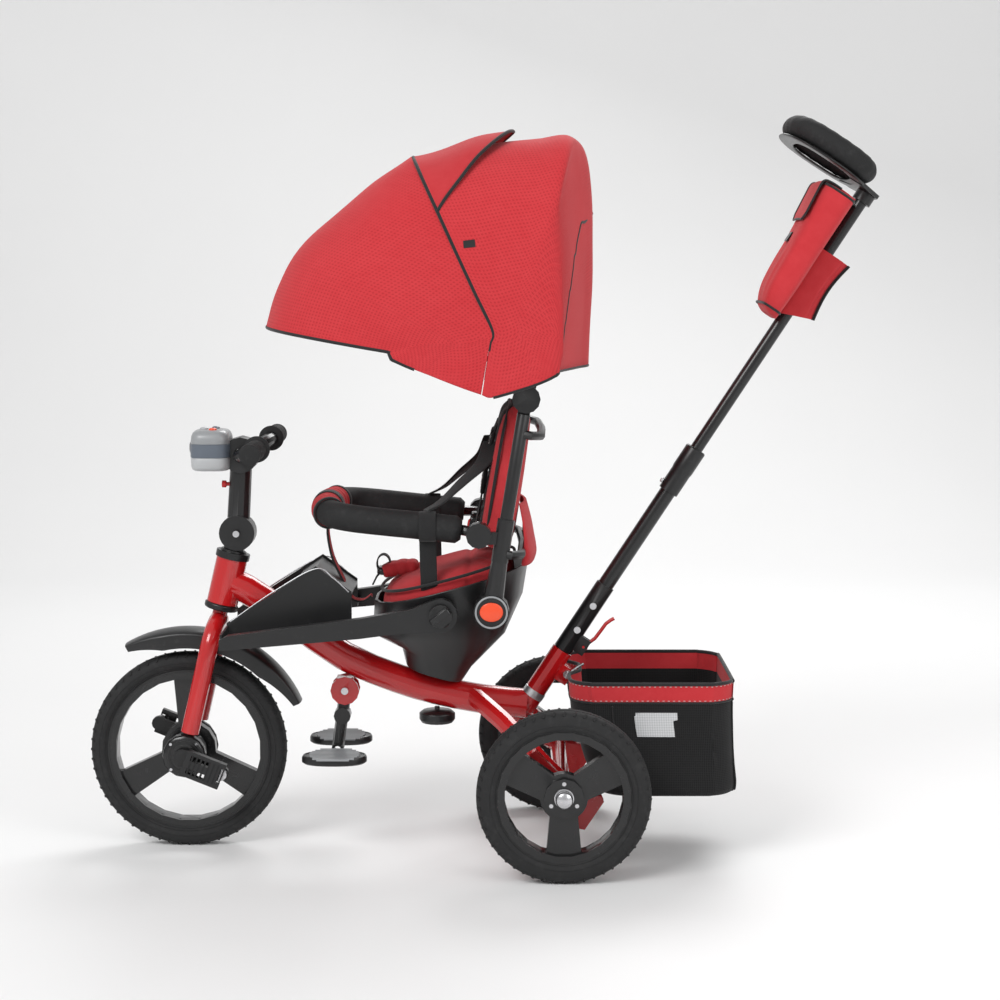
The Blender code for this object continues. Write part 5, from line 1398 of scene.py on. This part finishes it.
class TRICYCLE_OT_armrest(Operator):
    """Foam bar round the child, its red cloth wrap and bands, and its straps."""
    bl_idname = "tricycle.armrest"
    bl_label = "Armrest"

    def execute(self, context):
        rise = math.radians(6.0)
        along = Vector((-math.cos(rise), 0, math.sin(rise)))
        low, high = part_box("armrest_foam")
        reach = (ARM_PIN.x - low.x - 0.0205) / math.cos(rise)
        half_w = 0.5 * (high.y - low.y) - 0.0205
        foam_r = 0.0203
        left = [ARM_PIN + 0.026 * along - half_w * Y,
                ARM_PIN + 0.090 * along - (half_w - 0.0010) * Y,
                ARM_PIN + (reach - 0.050) * along - (half_w - 0.002) * Y,
                ARM_PIN + (reach - 0.012) * along - (half_w - 0.030) * Y,
                ARM_PIN + reach * along - 0.045 * Y]
        core = left + [ARM_PIN + reach * along] + [Vector((p.x, -p.y, p.z)) for p in reversed(left)]
        path = even_path(core, 160)
        size = lambda f: foam_r * (1 - 0.30 * (1 - ease(min(f, 1 - f) / 0.012)))
        foam = piece("armrest_foam_finished", Shape().add(pipe(path, size, 40)), "armrest", "foam", "foam",
                     ["armrest_foam"], sharp=60.0)
        refined("armrest_frame", "black_tube", 0.0006)
        self.wrap(path, foam_r)
        self.drop_straps(along, reach)
        return {"FINISHED"}

    def wrap(self, path, foam_r):
        """Red creased sleeve over the front of the bar, with a band at each end."""
        part_path = [p for p in path if abs(p.y) < 0.088]
        count = len(part_path)

        def size(f):
            crease = 0.0008 * math.sin(34 * math.pi * f) + 0.0006 * math.sin(53 * math.pi * f + 1.0)
            hem = 0.0006 * (groove(f - 0.035, 0.012) + groove(f - 0.965, 0.012))
            return foam_r + 0.0016 + crease * 0.6 + hem
        shape = Shape().add(pipe(even_path(part_path, 4 * count), size, 48))
        obj = piece("armrest_wrap", shape, "armrest", "red_pad", "red_fabric", sharp=70.0)
        bands = Shape()
        for end in (-1, 1):
            ring_at = min(part_path, key=lambda p: abs(p.y - end * 0.0862))
            index = part_path.index(ring_at)
            direction = directions(part_path)[index]
            bands.add(lathe([(foam_r + 0.0010, -0.0035), (foam_r + 0.0034, -0.0030), (foam_r + 0.0040, 0.0),
                             (foam_r + 0.0034, 0.0030), (foam_r + 0.0010, 0.0035)], ring_at, direction, 56,
                            ring=True))
        piece("armrest_wrap_bands", bands, "armrest", "piping", "black_fabric", sharp=60.0)

    def drop_straps(self, along, reach):
        """Webbing from the bar to the seat: the middle one between the legs, padded red."""
        half = 0.5 * bpy.context.scene.tricycle_sizes.webbing
        front = ARM_PIN + reach * along
        loop = Shape()
        ring = [front + Vector((0.0235 * math.cos(a), 0, 0.0235 * math.sin(a)))
                for a in (2 * math.pi * k / 40 for k in range(40))]
        loop.add(pipe(ring, lambda f: (0.62 * half * 2, 0.0012), 14, closed=True, up=lambda f: Vector(
            (math.cos(2 * math.pi * f * 39 / 39), 0, math.sin(2 * math.pi * f * 39 / 39)))))
        piece("crotch_loop", loop, "armrest", "webbing", "black_fabric", sharp=60.0)
        seat_front = seat_base() + Vector((0.0240 - 0.1205, 0, 0.1534 - 0.0300))
        tail = even_path([front + Vector((0.0010, 0, -0.0215)), front + Vector((-0.0010, 0, -0.0420)),
                          front + Vector((0.0060, 0, -0.0780)), front + Vector((0.0210, 0, -0.1110)),
                          seat_front + Vector((-0.0330, 0, -0.0020)),
                          seat_front + Vector((-0.0150, 0, -0.0070)),
                          seat_front + Vector((-0.0020, 0, 0.0010))], 90)
        runs = directions(tail)
        pad = Shape().add(pipe(tail, lambda f: (half * (0.9 + 0.25 * math.sin(math.pi * f)), 0.0022), 16,
                               up=lambda f: Vector((-runs[min(89, round(f * 89))].z, 0,
                                                    runs[min(89, round(f * 89))].x))))
        piece("crotch_strap", pad, "armrest", "red_pad", "red_fabric", sharp=60.0)
        edges = Shape()
        for side in (-1, 1):
            edges.add(pipe([p + side * half * (0.9 + 0.25 * math.sin(math.pi * k / 89)) * Y
                            for k, p in enumerate(tail)], 0.0018, 8))
        piece("crotch_strap_edges", edges, "armrest", "piping", "black_fabric", sharp=80.0)
        falls = Shape()
        for side in (-1, 1):
            at = ARM_PIN + 0.0760 * along + side * 0.5 * (size_of("armrest_foam").y - 0.041) * Y
            down = seat_base().z + 0.1534 - 0.0040
            path = even_path([at + Vector((0, 0, -0.0200)),
                              Vector((at.x + 0.001, at.y, 0.4 * at.z + 0.6 * down)),
                              Vector((at.x + 0.002, at.y - side * 0.004, down + 0.004)),
                              Vector((at.x + 0.002, at.y - side * 0.016, down - 0.004))], 40)
            falls.add(pipe(path, lambda f: (half, 0.0014), 14, up=side * Y - 0.3 * Z))
            ring = [at + Vector((0, 0.0216 * math.cos(a), 0.0216 * math.sin(a)))
                    for a in (2 * math.pi * k / 48 for k in range(48))]
            falls.add(pipe(ring, lambda f: (half, 0.0010), 14, closed=True, up=lambda f: Vector(
                (0, math.cos(2 * math.pi * f * 47 / 48), math.sin(2 * math.pi * f * 47 / 48)))))
        piece("side_falls", falls, "armrest", "webbing", "black_fabric", sharp=60.0)


# ---------------------------------------------------------------- canopy
def bow_point(angle, around, inset=0.0, radius=0.3450, half_w=0.2000):
    """Point on a canopy bow; around runs from -1 (left) to 1 (right)."""
    a = 0.5 * math.pi * around
    s, c = math.sin(a), math.cos(a)
    y = (half_w - inset) * math.copysign(abs(s) ** 0.62, s)
    r = (radius - inset) * abs(c) ** 0.62
    return BOW_HUB + Vector((-r * math.sin(angle), y, r * math.cos(angle)))


def canopy_rows(angles, factors, lows, hems, steps=24):
    """Rows of points over the hood, each carried down to its hem at both ends."""
    rows = []
    for angle, factor, low, hem in zip(angles, factors, lows, hems):
        row = [bow_point(math.radians(angle), low * (2 * k / steps - 1), radius=0.3450 * factor)
               for k in range(steps + 1)]
        rows.append(hemmed(row, hem))
    return rows


def hemmed(row, hem, cuts=5):
    """Carry both ends of a row down to the hem, given from the bow hub as (forward, down)."""
    ends = [BOW_HUB + Vector((-hem[0], side * 0.2005, -hem[1])) for side in (-1, 1)]
    left = [ends[0].lerp(row[0], k / cuts) for k in range(cuts)]
    right = [row[-1].lerp(ends[1], k / cuts) for k in range(1, cuts + 1)]
    return left + row + right


class TRICYCLE_OT_canopy(Operator):
    """Canopy cover and folding visor in curved sheets, with piping, flap, tags and bows."""
    bl_idname = "tricycle.canopy"
    bl_label = "Canopy"

    def execute(self, context):
        for node in ("canopy_frame", "canopy_middle_bow", "canopy_front_bow"):
            refined(node, slot_of_node(node), 0.0004, 50.0)
        split = 25.0
        cover = canopy_rows([split, 16, 8, 0, -7, -14], [1.0, 0.960, 0.953, 0.965, 0.985, 1.02],
                            [0.955] * 6, [(0.0430, 0.0315), (0.0315, 0.0355), (0.0135, 0.0315),
                                          (-0.0065, 0.0255), (-0.0300, 0.0180), (-0.0490, 0.0105)])
        rear = cover[-1][5:-5]
        back = []
        for drop, depth, hem in ((0.10, 0.028, (-0.0600, 0.0050)), (0.5, 0.036, (-0.0635, 0.0032)),
                                 (1.0, 0.030, (-0.0655, 0.0012))):
            row = []
            for p in rear:
                z = p.z - drop * (p.z - (BOW_HUB.z + 0.002))
                reach = rear[len(rear) // 2].x + depth - 0.25 * abs(p.y)
                row.append(Vector((max(reach, p.x + 0.002), 0.97 * p.y, z)))
            back.append(hemmed(row, hem))
        rows = cover + back
        grid = smooth_grid(rows, 100, 201)

        def loose(p):
            return clamp01((p - BOW_HUB).length / 0.20 - 0.35)
        grid = wrinkled(grid, 0.0030, 0.085, 3.0, loose)
        obj, flat, area = cloth_piece("canopy_cover_finished", grid, "canopy", ["red_canopy"],
                                      "red_fabric", ["canopy_cover"])
        trims = self.cover_trim(grid)
        visor = canopy_rows([80.5, 70.5, 61, 49, 37, split + 0.35], [1.075, 1.06, 1.045, 1.0, 0.985, 1.0],
                            [0.80, 0.88, 0.93, 0.945, 0.95, 0.955],
                            [(0.1715, -0.0190), (0.1470, -0.0080), (0.1190, 0.0030), (0.0940, 0.0130),
                             (0.0690, 0.0225), (0.0442, 0.0310)])
        grid = wrinkled(smooth_grid(visor, 90, 201), 0.0030, 0.085, 7.0, loose)
        obj, flat, area = cloth_piece("canopy_visor_finished", grid, None, ["red_canopy"],
                                      "red_fabric", ["canopy_visor"])
        trims = self.visor_trim(grid)
        for name in ["canopy_visor_finished", *[t.name for t in trims]]:
            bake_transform(bpy.data.objects[name])
        return {"FINISHED"}

    def cover_trim(self, grid):
        radius = bpy.context.scene.tricycle_sizes.piping
        bound = Shape()
        bound.add(pipe(even_path(grid[0][20:-20], 200), 1.15 * radius, 10))
        bound.add(pipe(even_path(grid[-1], 200), radius, 10))
        for column in (0, -1):
            bound.add(pipe(even_path([row[column] for row in grid[16:]], 160), radius, 10))
        for hand in (-1, 1):
            arch = []
            for n in range(24):
                t = n / 23
                arch.append(grid[round(82 + 17 * t)][round(100 + hand * 71 * t ** 0.8)])
            bound.add(pipe(even_path(arch, 80), 1.1 * radius, 10))
        seam_row = 62
        seam = Shape().add(pipe(even_path([p + 0.0002 * (p - BOW_HUB).normalized() for p in grid[seam_row]],
                                          200), 0.55 * radius, 8))
        return [piece("cover_piping", bound, "canopy", "piping", "black_fabric", sharp=80.0),
                piece("cover_seam", seam, "canopy", "red_pad", "red_fabric", sharp=80.0),
                self.flap(grid), self.tag(grid),
                stitches("cover_stitches", [grid[2][4:-4], grid[seam_row + 1][4:-4]],
                         lambda p, d: (p - BOW_HUB).normalized(), "canopy", "piping")]

    def flap(self, grid):
        """Raised ventilation flap over the crown, sewn to the middle rib, its free edge bound."""
        centre, reach = len(grid[0]) // 2, 44
        rows = []
        for n in range(25):
            f = n / 24
            row = []
            for k in range(centre - reach, centre + reach + 1):
                u = abs(k - centre) / reach
                depth = 38.0 * f * (1 - u ** 1.7)
                i = int(depth)
                p = grid[i][k].lerp(grid[i + 1][k], depth - i)
                out = Vector((p.x - BOW_HUB.x, 0.6 * p.y, p.z - BOW_HUB.z)).normalized()
                row.append(p + (0.0018 + 0.0150 * ease(1.3 * f) * (1 - u ** 2)) * out)
            rows.append(row)
        inner = [[p - 0.0013 * (p - BOW_HUB).normalized() for p in row] for row in rows]
        shape = Shape().add(skin([row + list(reversed(low)) for row, low in zip(rows, inner)]))
        piece("flap_binding", Shape().add(pipe(even_path(rows[-1], 160), 0.0025, 8)), "canopy",
              "piping", "black_fabric", sharp=80.0)
        return piece("ventilation_flap", shape, "canopy", "red_pad", "red_fabric", sharp=60.0)

    def tag(self, grid):
        """Blank sewn tags on both sides, behind the middle bow."""
        shape = Shape()
        for column, hand in ((46, -1), (len(grid[0]) - 47, 1)):
            at = grid[9][column]
            down = (grid[9][column] - grid[9][column + hand * -5]).normalized()
            back = (grid[14][column] - grid[6][column]).normalized()
            out = back.cross(down).normalized()
            if out.dot(at - BOW_HUB) < 0:
                out = -out
            shape.add(slab((0.0170, 0.0110, 0.0016), at + 0.0016 * out, frame_of(back, down)))
        return piece("canopy_tags", shape, "canopy", "black_plastic", "black_fabric", bevel=0.0005)

    def visor_trim(self, grid):
        radius = bpy.context.scene.tricycle_sizes.piping
        bound = Shape()
        bound.add(pipe(even_path(grid[0], 200), 1.1 * radius, 10))
        for column in (0, -1):
            bound.add(pipe(even_path([row[column] for row in grid[:24]], 60), radius, 10))
        seam = Shape().add(pipe(even_path([p + 0.0004 * (p - BOW_HUB).normalized() for p in grid[32]],
                                          200), 0.60 * radius, 8))
        return [piece("visor_piping", bound, None, "piping", "black_fabric", sharp=80.0),
                piece("visor_seam", seam, None, "red_pad", "red_fabric", sharp=80.0)]


# ---------------------------------------------------------------- push handle and bag
class TRICYCLE_OT_push_handle(Operator):
    """Telescopic push pole with its clamp, levers, padded loop and sagging bag."""
    bl_idname = "tricycle.push_handle"
    bl_label = "Push handle"

    def execute(self, context):
        refined("lower_pole", "black_tube", 0.0003)
        refined("pole_sleeve", "black_plastic", 0.0006)
        refined("pole_collar", "black_plastic", 0.0005)
        refined("pole_lever", "red_plastic", 0.0006)
        refined("socket_skewer", "steel", 0.0003)
        refined("height_button", "steel", 0.0003)
        refined("upper_pole", "black_tube", 0.0003)
        refined("handle_yoke", "black_plastic", 0.0010)
        screws("sleeve_bolts", [(pole(s, 0, side * 0.0172), side * Y) for s in (0.128, 0.172)
                                for side in (-1, 1)], 0.0052, 0.0030, "steel", "push_handle")
        self.loop()
        self.bag()
        self.sleeve()
        return {"FINISHED"}

    def loop(self):
        """Thick padded loop, its cover sewn round the inside."""
        loop_s, centre, half_n, half_y, bar_r = 0.9400, 0.0830, 0.0610, 0.0800, 0.0170
        corners = []
        for k in range(40):
            a = 2 * math.pi * k / 40
            forward = math.copysign(abs(math.cos(a)) ** 0.75, math.cos(a))
            sideways = math.copysign(abs(math.sin(a)) ** 0.75, math.sin(a))
            corners.append(pole(loop_s, centre + half_n * forward, half_y * sideways))
        path = even_path(corners, 160, closed=True)
        shape = Shape().add(pipe(path, lambda f: (bar_r * (0.985 + 0.015 * math.sin(44 * math.pi * f)),
                                                  bar_r * (0.985 + 0.015 * math.sin(44 * math.pi * f))),
                                 36, closed=True, up=POLE_DIR))
        obj = piece("handle_loop_finished", shape, "upper_handle", "foam", "foam", ["handle_grip"],
                    sharp=80.0)
        under = [p - (bar_r + 0.0035) * POLE_DIR for p in path]
        plate = Shape().add(pipe(under, lambda f: (0.0130, 0.0022), 16, closed=True, up=POLE_DIR))
        piece("handle_plate", plate, "upper_handle", "black_plastic", "black_plastic", sharp=50.0)
        middle = pole(loop_s, centre)
        inside = [p + (middle - p).normalized() * (bar_r + 0.0002) for p in path]
        sewn = pipe(even_path(inside, 160, closed=True), 0.0011, 8, closed=True)
        piece("handle_loop_seam", Shape().add(sewn), "upper_handle", "piping", "black_fabric", sharp=80.0)

    def bag(self):
        """Red bag hung on the pole: it sags at the bottom, with a flap, bound edges and a blank tag."""
        levels = [(0.6860, 0.0240, 0.0330), (0.6875, 0.0330, 0.0420), (0.6960, 0.0440, 0.0520),
                  (0.7200, 0.0530, 0.0600), (0.7600, 0.0575, 0.0635), (0.8000, 0.0600, 0.0650),
                  (0.8500, 0.0650, 0.0680), (0.8820, 0.0685, 0.0690), (0.8920, 0.0660, 0.0660),
                  (0.8930, 0.0560, 0.0560)]
        near = 0.0118
        rings = []
        for s, front, half in between(levels, 64):
            middle, depth = 0.5 * (near + front), 0.5 * (front - near)
            ring = []
            for a, b in rounded(72, 0.50):
                point = pole(s, middle + depth * a, half * b)
                fold = 0.0016 * noise.noise(Vector((point.y * 16, s * 9, 2.0)))
                fold += 0.0016 * math.sin(math.pi * clamp01((0.80 - s) / 0.11)) * math.cos(4.2 * math.pi * b)
                out = (point - pole(s, middle)).normalized()
                ring.append(point + fold * out)
            rings.append(ring)
        mesh = Shape().add(skin(rings)).mesh("storage_bag_finished")
        settle(mesh)
        layer = mesh.uv_layers.new(name="cut")
        for loop in mesh.loops:
            local = mesh.vertices[loop.vertex_index].co - POLE_FOOT
            around = local.y + (local.dot(POLE_FRONT) if local.y > 0 else -local.dot(POLE_FRONT))
            layer.data[loop.index].uv = (around, local.dot(POLE_DIR))
        bag = piece("storage_bag_finished", mesh, "upper_handle", "red_cloth", "red_fabric", ["storage_bag"],
                    sharp=60.0, tidy=False)
        edges = Shape()
        for s, front, half in ((0.8900, 0.0690, 0.0680), (0.6950, 0.0445, 0.0525)):
            middle, depth = 0.5 * (near + front), 0.5 * (front - near)
            edges.add(pipe(even_path([pole(s, middle + depth * a, half * b) for a, b in rounded(72, 0.50)],
                                     120, closed=True), 0.0020, 8, closed=True))
        piece("bag_piping", edges, "upper_handle", "piping", "black_fabric", sharp=80.0)
        self.bag_flap(near)
        tag = Shape().add(slab((0.0260, 0.0160, 0.0016), pole(0.8000, 0.0620, 0.0),
                               frame_of(Y, POLE_DIR)))
        piece("bag_tag", tag, "upper_handle", "black_plastic", "black_fabric", bevel=0.0005)

    def sleeve(self):
        """Cloth sleeve that holds the bag to the pole, its rear edge bound in black."""
        outer, inner = [], []
        for k in range(24):
            f = k / 23
            s = 0.7060 + 0.1060 * f
            skew = 0.0100 * (1 - f)
            rear, front = -0.0370 + 0.006 * math.sin(math.pi * f), 0.0150
            middle, depth = 0.5 * (rear + front), 0.5 * (front - rear)
            for rings, inset in ((outer, 0.0), (inner, 0.0016)):
                rings.append([pole(s + skew * (-a), middle + (depth - inset) * a,
                                   (0.0152 - inset) * b * (1.0 if a > -0.6 else 0.72))
                              for a, b in rounded(56, 0.60)])
        shape = Shape().add(skin(outer + list(reversed(inner)), close=True))
        piece("bag_sleeve", shape, "upper_handle", "red_pad", "red_fabric", sharp=70.0)
        edge = [pole(0.7060 + 0.1060 * k / 23 + 0.0100 * (1 - k / 23),
                     -0.0385 + 0.006 * math.sin(math.pi * k / 23)) for k in range(24)]
        strip = Shape().add(pipe(edge, lambda f: (0.0110, 0.0022), 14, up=POLE_FRONT))
        piece("bag_sleeve_edge", strip, "upper_handle", "black_pad", "black_fabric", sharp=60.0)

    def bag_flap(self, near):
        """Closing flap over the top and down the front, with its bound hem."""
        rows = []
        path = [(0.8935, near + 0.004), (0.8950, 0.036), (0.8950, 0.060), (0.8900, 0.0705),
                (0.8700, 0.0695), (0.8450, 0.0668), (0.8280, 0.0650)]
        for s, n in between(path, 40):
            half = 0.0600 if s > 0.84 else 0.0600 - 0.030 * ease((0.84 - s) / 0.014) * 0.5
            rows.append([pole(s + 0.0006, n + 0.0014 * (1 - abs(u)), half * u) for u in
                         (-1 + 2 * k / 24 for k in range(25))])
        inner = [[p - 0.0016 * (p - pole(0.83, 0.03, p.y)).normalized() for p in row] for row in rows]
        shape = Shape().add(skin([row + list(reversed(low)) for row, low in zip(rows, inner)]))
        piece("bag_flap", shape, "upper_handle", "red_pad", "red_fabric", sharp=60.0)
        rim = [row[0] for row in rows[8:]] + rows[-1] + [row[-1] for row in reversed(rows[8:])]
        piece("bag_flap_binding", Shape().add(pipe(even_path(rim, 140), 0.0017, 8)), "upper_handle",
              "piping", "black_fabric", sharp=80.0)


# ---------------------------------------------------------------- basket
class TRICYCLE_OT_basket(Operator):
    """Cloth basket: a sagging body, red bound band, reflective patch and stitches."""
    bl_idname = "tricycle.basket"
    bl_label = "Basket"

    def execute(self, context):
        self.rear = REAR_AXLE.x
        wall = 0.0028
        levels = [(0.276, 0.0105, 0.2555, 0.1395), (0.245, 0.0130, 0.2545, 0.1370),
                  (0.215, 0.0165, 0.2550, 0.1355), (0.180, 0.0270, 0.2560, 0.1330),
                  (0.150, 0.0365, 0.2580, 0.1318), (0.120, 0.0480, 0.2600, 0.1340),
                  (0.1065, 0.0560, 0.2570, 0.1310), (0.1045, 0.0700, 0.2450, 0.1180)]
        outer = [self.outline(*level, 0.0) for level in between(levels, 56)]
        inner = [self.outline(z + (wall if z < 0.12 else 0.0), a, b, c, wall) for z, a, b, c in
                 between(levels, 56)]
        rings = list(reversed(outer)) + inner
        mesh = Shape().add(skin(rings)).mesh("basket_finished")
        settle(mesh)
        layer = mesh.uv_layers.new(name="cut")
        for loop in mesh.loops:
            p = mesh.vertices[loop.vertex_index].co
            around = math.atan2(p.y, p.x - (self.rear + 0.13)) * 0.14
            layer.data[loop.index].uv = (around, p.z if p.z > 0.112 else p.x)
        for face in mesh.polygons:
            face.material_index = 1 if face.center.z > 0.2475 else 0
        basket = piece("basket_finished", mesh, "frame", ["black_net", "red_cloth"], "black_fabric",
                       ["basket"], sharp=60.0, tidy=False)
        trims = self.trims(levels)
        return {"FINISHED"}

    def outline(self, z, low, high, half, inset):
        """Rounded rectangle with a notch in front for the pole's clamp."""
        notch, radius = 0.0180, 0.045 - inset
        low, high, half = low + inset, high - inset, half - inset
        corners = [(low + notch, 0.0), (low + notch, 0.022), (low + 0.75 * notch, 0.033),
                   (low + 0.25 * notch, 0.047), (low, 0.058)]
        for (cx, cy), start in (((low + radius, half - radius), 180), ((high - radius, half - radius), 90)):
            for k in range(7):
                a = math.radians(start - 15 * k)
                corners.append((cx + radius * math.cos(a), cy + radius * math.sin(a)))
        corners = corners + [(x, -y) for x, y in reversed(corners[1:])]
        sag = 0.0022 * math.sin(math.pi * clamp01((z - 0.105) / 0.17)) ** 2
        points = []
        for p in even_path([Vector((x, y, 0)) for x, y in corners], 160, closed=True):
            fold = sag * noise.noise(Vector((p.x * 14, p.y * 14, z * 9)))
            out = Vector((p.x - 0.5 * (low + high), p.y, 0)).normalized()
            points.append(Vector((self.rear, 0, z)) + p + fold * out)
        return points

    def trims(self, levels):
        radius = bpy.context.scene.tricycle_sizes.piping
        rim = self.outline(0.2755, 0.0105, 0.2555, 0.1395, 0.0014)
        shape = Shape().add(pipe(rim, 1.2 * radius, 10, closed=True))
        rim_piece = piece("basket_rim", shape, "frame", "piping", "black_fabric", sharp=80.0)
        fold = self.outline(0.2475, 0.0126, 0.2546, 0.1373, 0.0)
        line = Shape().add(pipe(fold, 0.7 * radius, 8, closed=True))
        line_piece = piece("basket_seam", line, "frame", "piping", "black_fabric", sharp=80.0)
        corner = Shape()
        outer_sets = []
        for z, a, b, c in between(levels, 40):
            if z > 0.2450 or z < 0.108:
                continue
            outer_sets.append(self.outline(z, a, b, c, -0.0006))
        for index in (30, 62, 98, 130):
            corner.add(pipe(even_path([ring[index] for ring in outer_sets], 60), 0.5 * radius, 8))
        seams = piece("basket_corner_seams", corner, "frame", "piping", "black_fabric", sharp=80.0)
        rows = [self.outline(0.2720, 0.0107, 0.2554, 0.1394, 0.0),
                self.outline(0.2505, 0.0128, 0.2546, 0.1376, 0.0)]
        sewn = stitches("basket_stitches", rows, lambda p, d: Z.cross(d), "frame")
        patch = self.patch(levels)
        return [rim_piece, line_piece, seams, sewn, patch]

    def patch(self, levels):
        """Silver safety patch on both long sides."""
        shape = Shape()
        for side in (-1, 1):
            rows, inner = [], []
            for z, a, b, c in between(levels, 120):
                if not 0.1960 < z < 0.2330:
                    continue
                for held, inset in ((rows, -0.0012), (inner, 0.0004)):
                    ring = self.outline(z, a, b, c, inset)
                    side_points = sorted((p for p in ring if side * p.y > 0.10), key=lambda p: p.x)
                    line = [p for p in side_points if 0.106 < p.x - self.rear < 0.170]
                    held.append(even_path(line, 16))
            shape.add(skin([row + list(reversed(low)) for row, low in zip(rows, inner)]))
        return piece("basket_patches", shape, "frame", "reflective", "grey_plastic", sharp=60.0)


# ---------------------------------------------------------------- stage
def soft_light(name, place, target, size, watts, tone=(1.0, 1.0, 1.0)):
    data = bpy.data.lights.new(name, "AREA")
    data.shape = "RECTANGLE"
    data.size, data.size_y = size
    data.energy = watts
    data.color = tone
    lamp = bpy.data.objects.new(name, data)
    lamp.location = place
    lamp.rotation_euler = (Vector(target) - Vector(place)).to_track_quat("-Z", "Y").to_euler()
    bpy.context.scene.collection.objects.link(lamp)


class TRICYCLE_OT_stage(Operator):
    """Pale floor, soft studio light and the camera beside the tricycle."""
    bl_idname = "tricycle.stage"
    bl_label = "Stage"

    def execute(self, context):
        scene = context.scene
        reach, back, height, bend = 9.0, 4.2, 6.0, 1.4
        profile = [(-reach, 0.0)]
        for k in range(13):
            a = math.radians(90 * k / 12)
            profile.append((back - bend + bend * math.sin(a), bend - bend * math.cos(a)))
        profile.append((back, height))
        mesh = bpy.data.meshes.new("studio_floor")
        verts = [(side * reach, y, z) for y, z in profile for side in (-1, 1)]
        faces = [(2 * k, 2 * k + 1, 2 * k + 3, 2 * k + 2) for k in range(len(profile) - 1)]
        mesh.from_pydata(verts, [], faces)
        mesh.shade_smooth()
        board = Board("floor_look")
        mottle = board.noise(board.place(), 1.2, 4.0)
        board.set(Base_Color=board.tint((0.80, 0.80, 0.80), (0.84, 0.84, 0.84), mottle),
                  Roughness=0.52 + mottle * 0.05)
        mesh.materials.append(board.material)
        floor = bpy.data.objects.new("studio_floor", mesh)
        scene.collection.objects.link(floor)
        world = bpy.data.worlds.new("studio_air")
        world.use_nodes = True
        world.node_tree.nodes["Background"].inputs["Color"].default_value = (1.0, 1.0, 1.0, 1.0)
        world.node_tree.nodes["Background"].inputs["Strength"].default_value = 0.55
        scene.world = world
        low, high = CAD_BOX
        middle = 0.5 * (Vector(low) + Vector(high))
        soft_light("key_light", (-2.2, -3.0, 3.4), middle, (2.2, 1.8), 120)
        soft_light("fill_light", (2.8, -2.6, 2.0), middle, (2.4, 1.8), 45)
        soft_light("rim_light", (0.8, 2.8, 3.0), middle, (2.4, 1.4), 70)
        scene.view_settings.view_transform = "Standard"
        camera = bpy.data.objects.new("camera", bpy.data.cameras.new("camera"))
        camera.data.lens = 78.43
        camera.data.sensor_width = 36.0
        camera.location = (0.0313, -3.3, 0.8954)
        camera.rotation_euler = (math.radians(90 - 6.25), 0, 0)
        scene.collection.objects.link(camera)
        scene.camera = camera
        return {"FINISHED"}


# ---------------------------------------------------------------- add-on
OPERATORS = (
    TRICYCLE_OT_wheels, TRICYCLE_OT_frame, TRICYCLE_OT_fork, TRICYCLE_OT_handlebar, TRICYCLE_OT_footwork,
    TRICYCLE_OT_seat, TRICYCLE_OT_backrest, TRICYCLE_OT_armrest, TRICYCLE_OT_canopy,
    TRICYCLE_OT_push_handle, TRICYCLE_OT_basket, TRICYCLE_OT_stage,
)


class TRICYCLE_PT_panel(Panel):
    """Lists the tricycle's pieces in the sidebar."""
    bl_label = "Tricycle"
    bl_idname = "TRICYCLE_PT_panel"
    bl_space_type = "VIEW_3D"
    bl_region_type = "UI"
    bl_category = "Tricycle"

    def draw(self, context):
        layout = self.layout
        for group in (context.scene.tricycle_colours, context.scene.tricycle_sizes):
            for key in group.__annotations__:
                layout.prop(group, key)
        for operator in OPERATORS:
            layout.operator(operator.bl_idname)


CLASSES = (TricycleColours, TricycleSizes, *OPERATORS, TRICYCLE_PT_panel)


def register():
    for cls in CLASSES:
        bpy.utils.register_class(cls)
    bpy.types.Scene.tricycle_colours = PointerProperty(type=TricycleColours)
    bpy.types.Scene.tricycle_sizes = PointerProperty(type=TricycleSizes)


def unregister():
    del bpy.types.Scene.tricycle_sizes
    del bpy.types.Scene.tricycle_colours
    for cls in reversed(CLASSES):
        bpy.utils.unregister_class(cls)


def main():
    register()
    scene = bpy.context.scene
    make_finishes(scene.tricycle_colours, scene.tricycle_sizes)
    for operator in OPERATORS:
        group, name = operator.bl_idname.split(".")
        getattr(getattr(bpy.ops, group), name)()


if __name__ == "__main__":
    main()
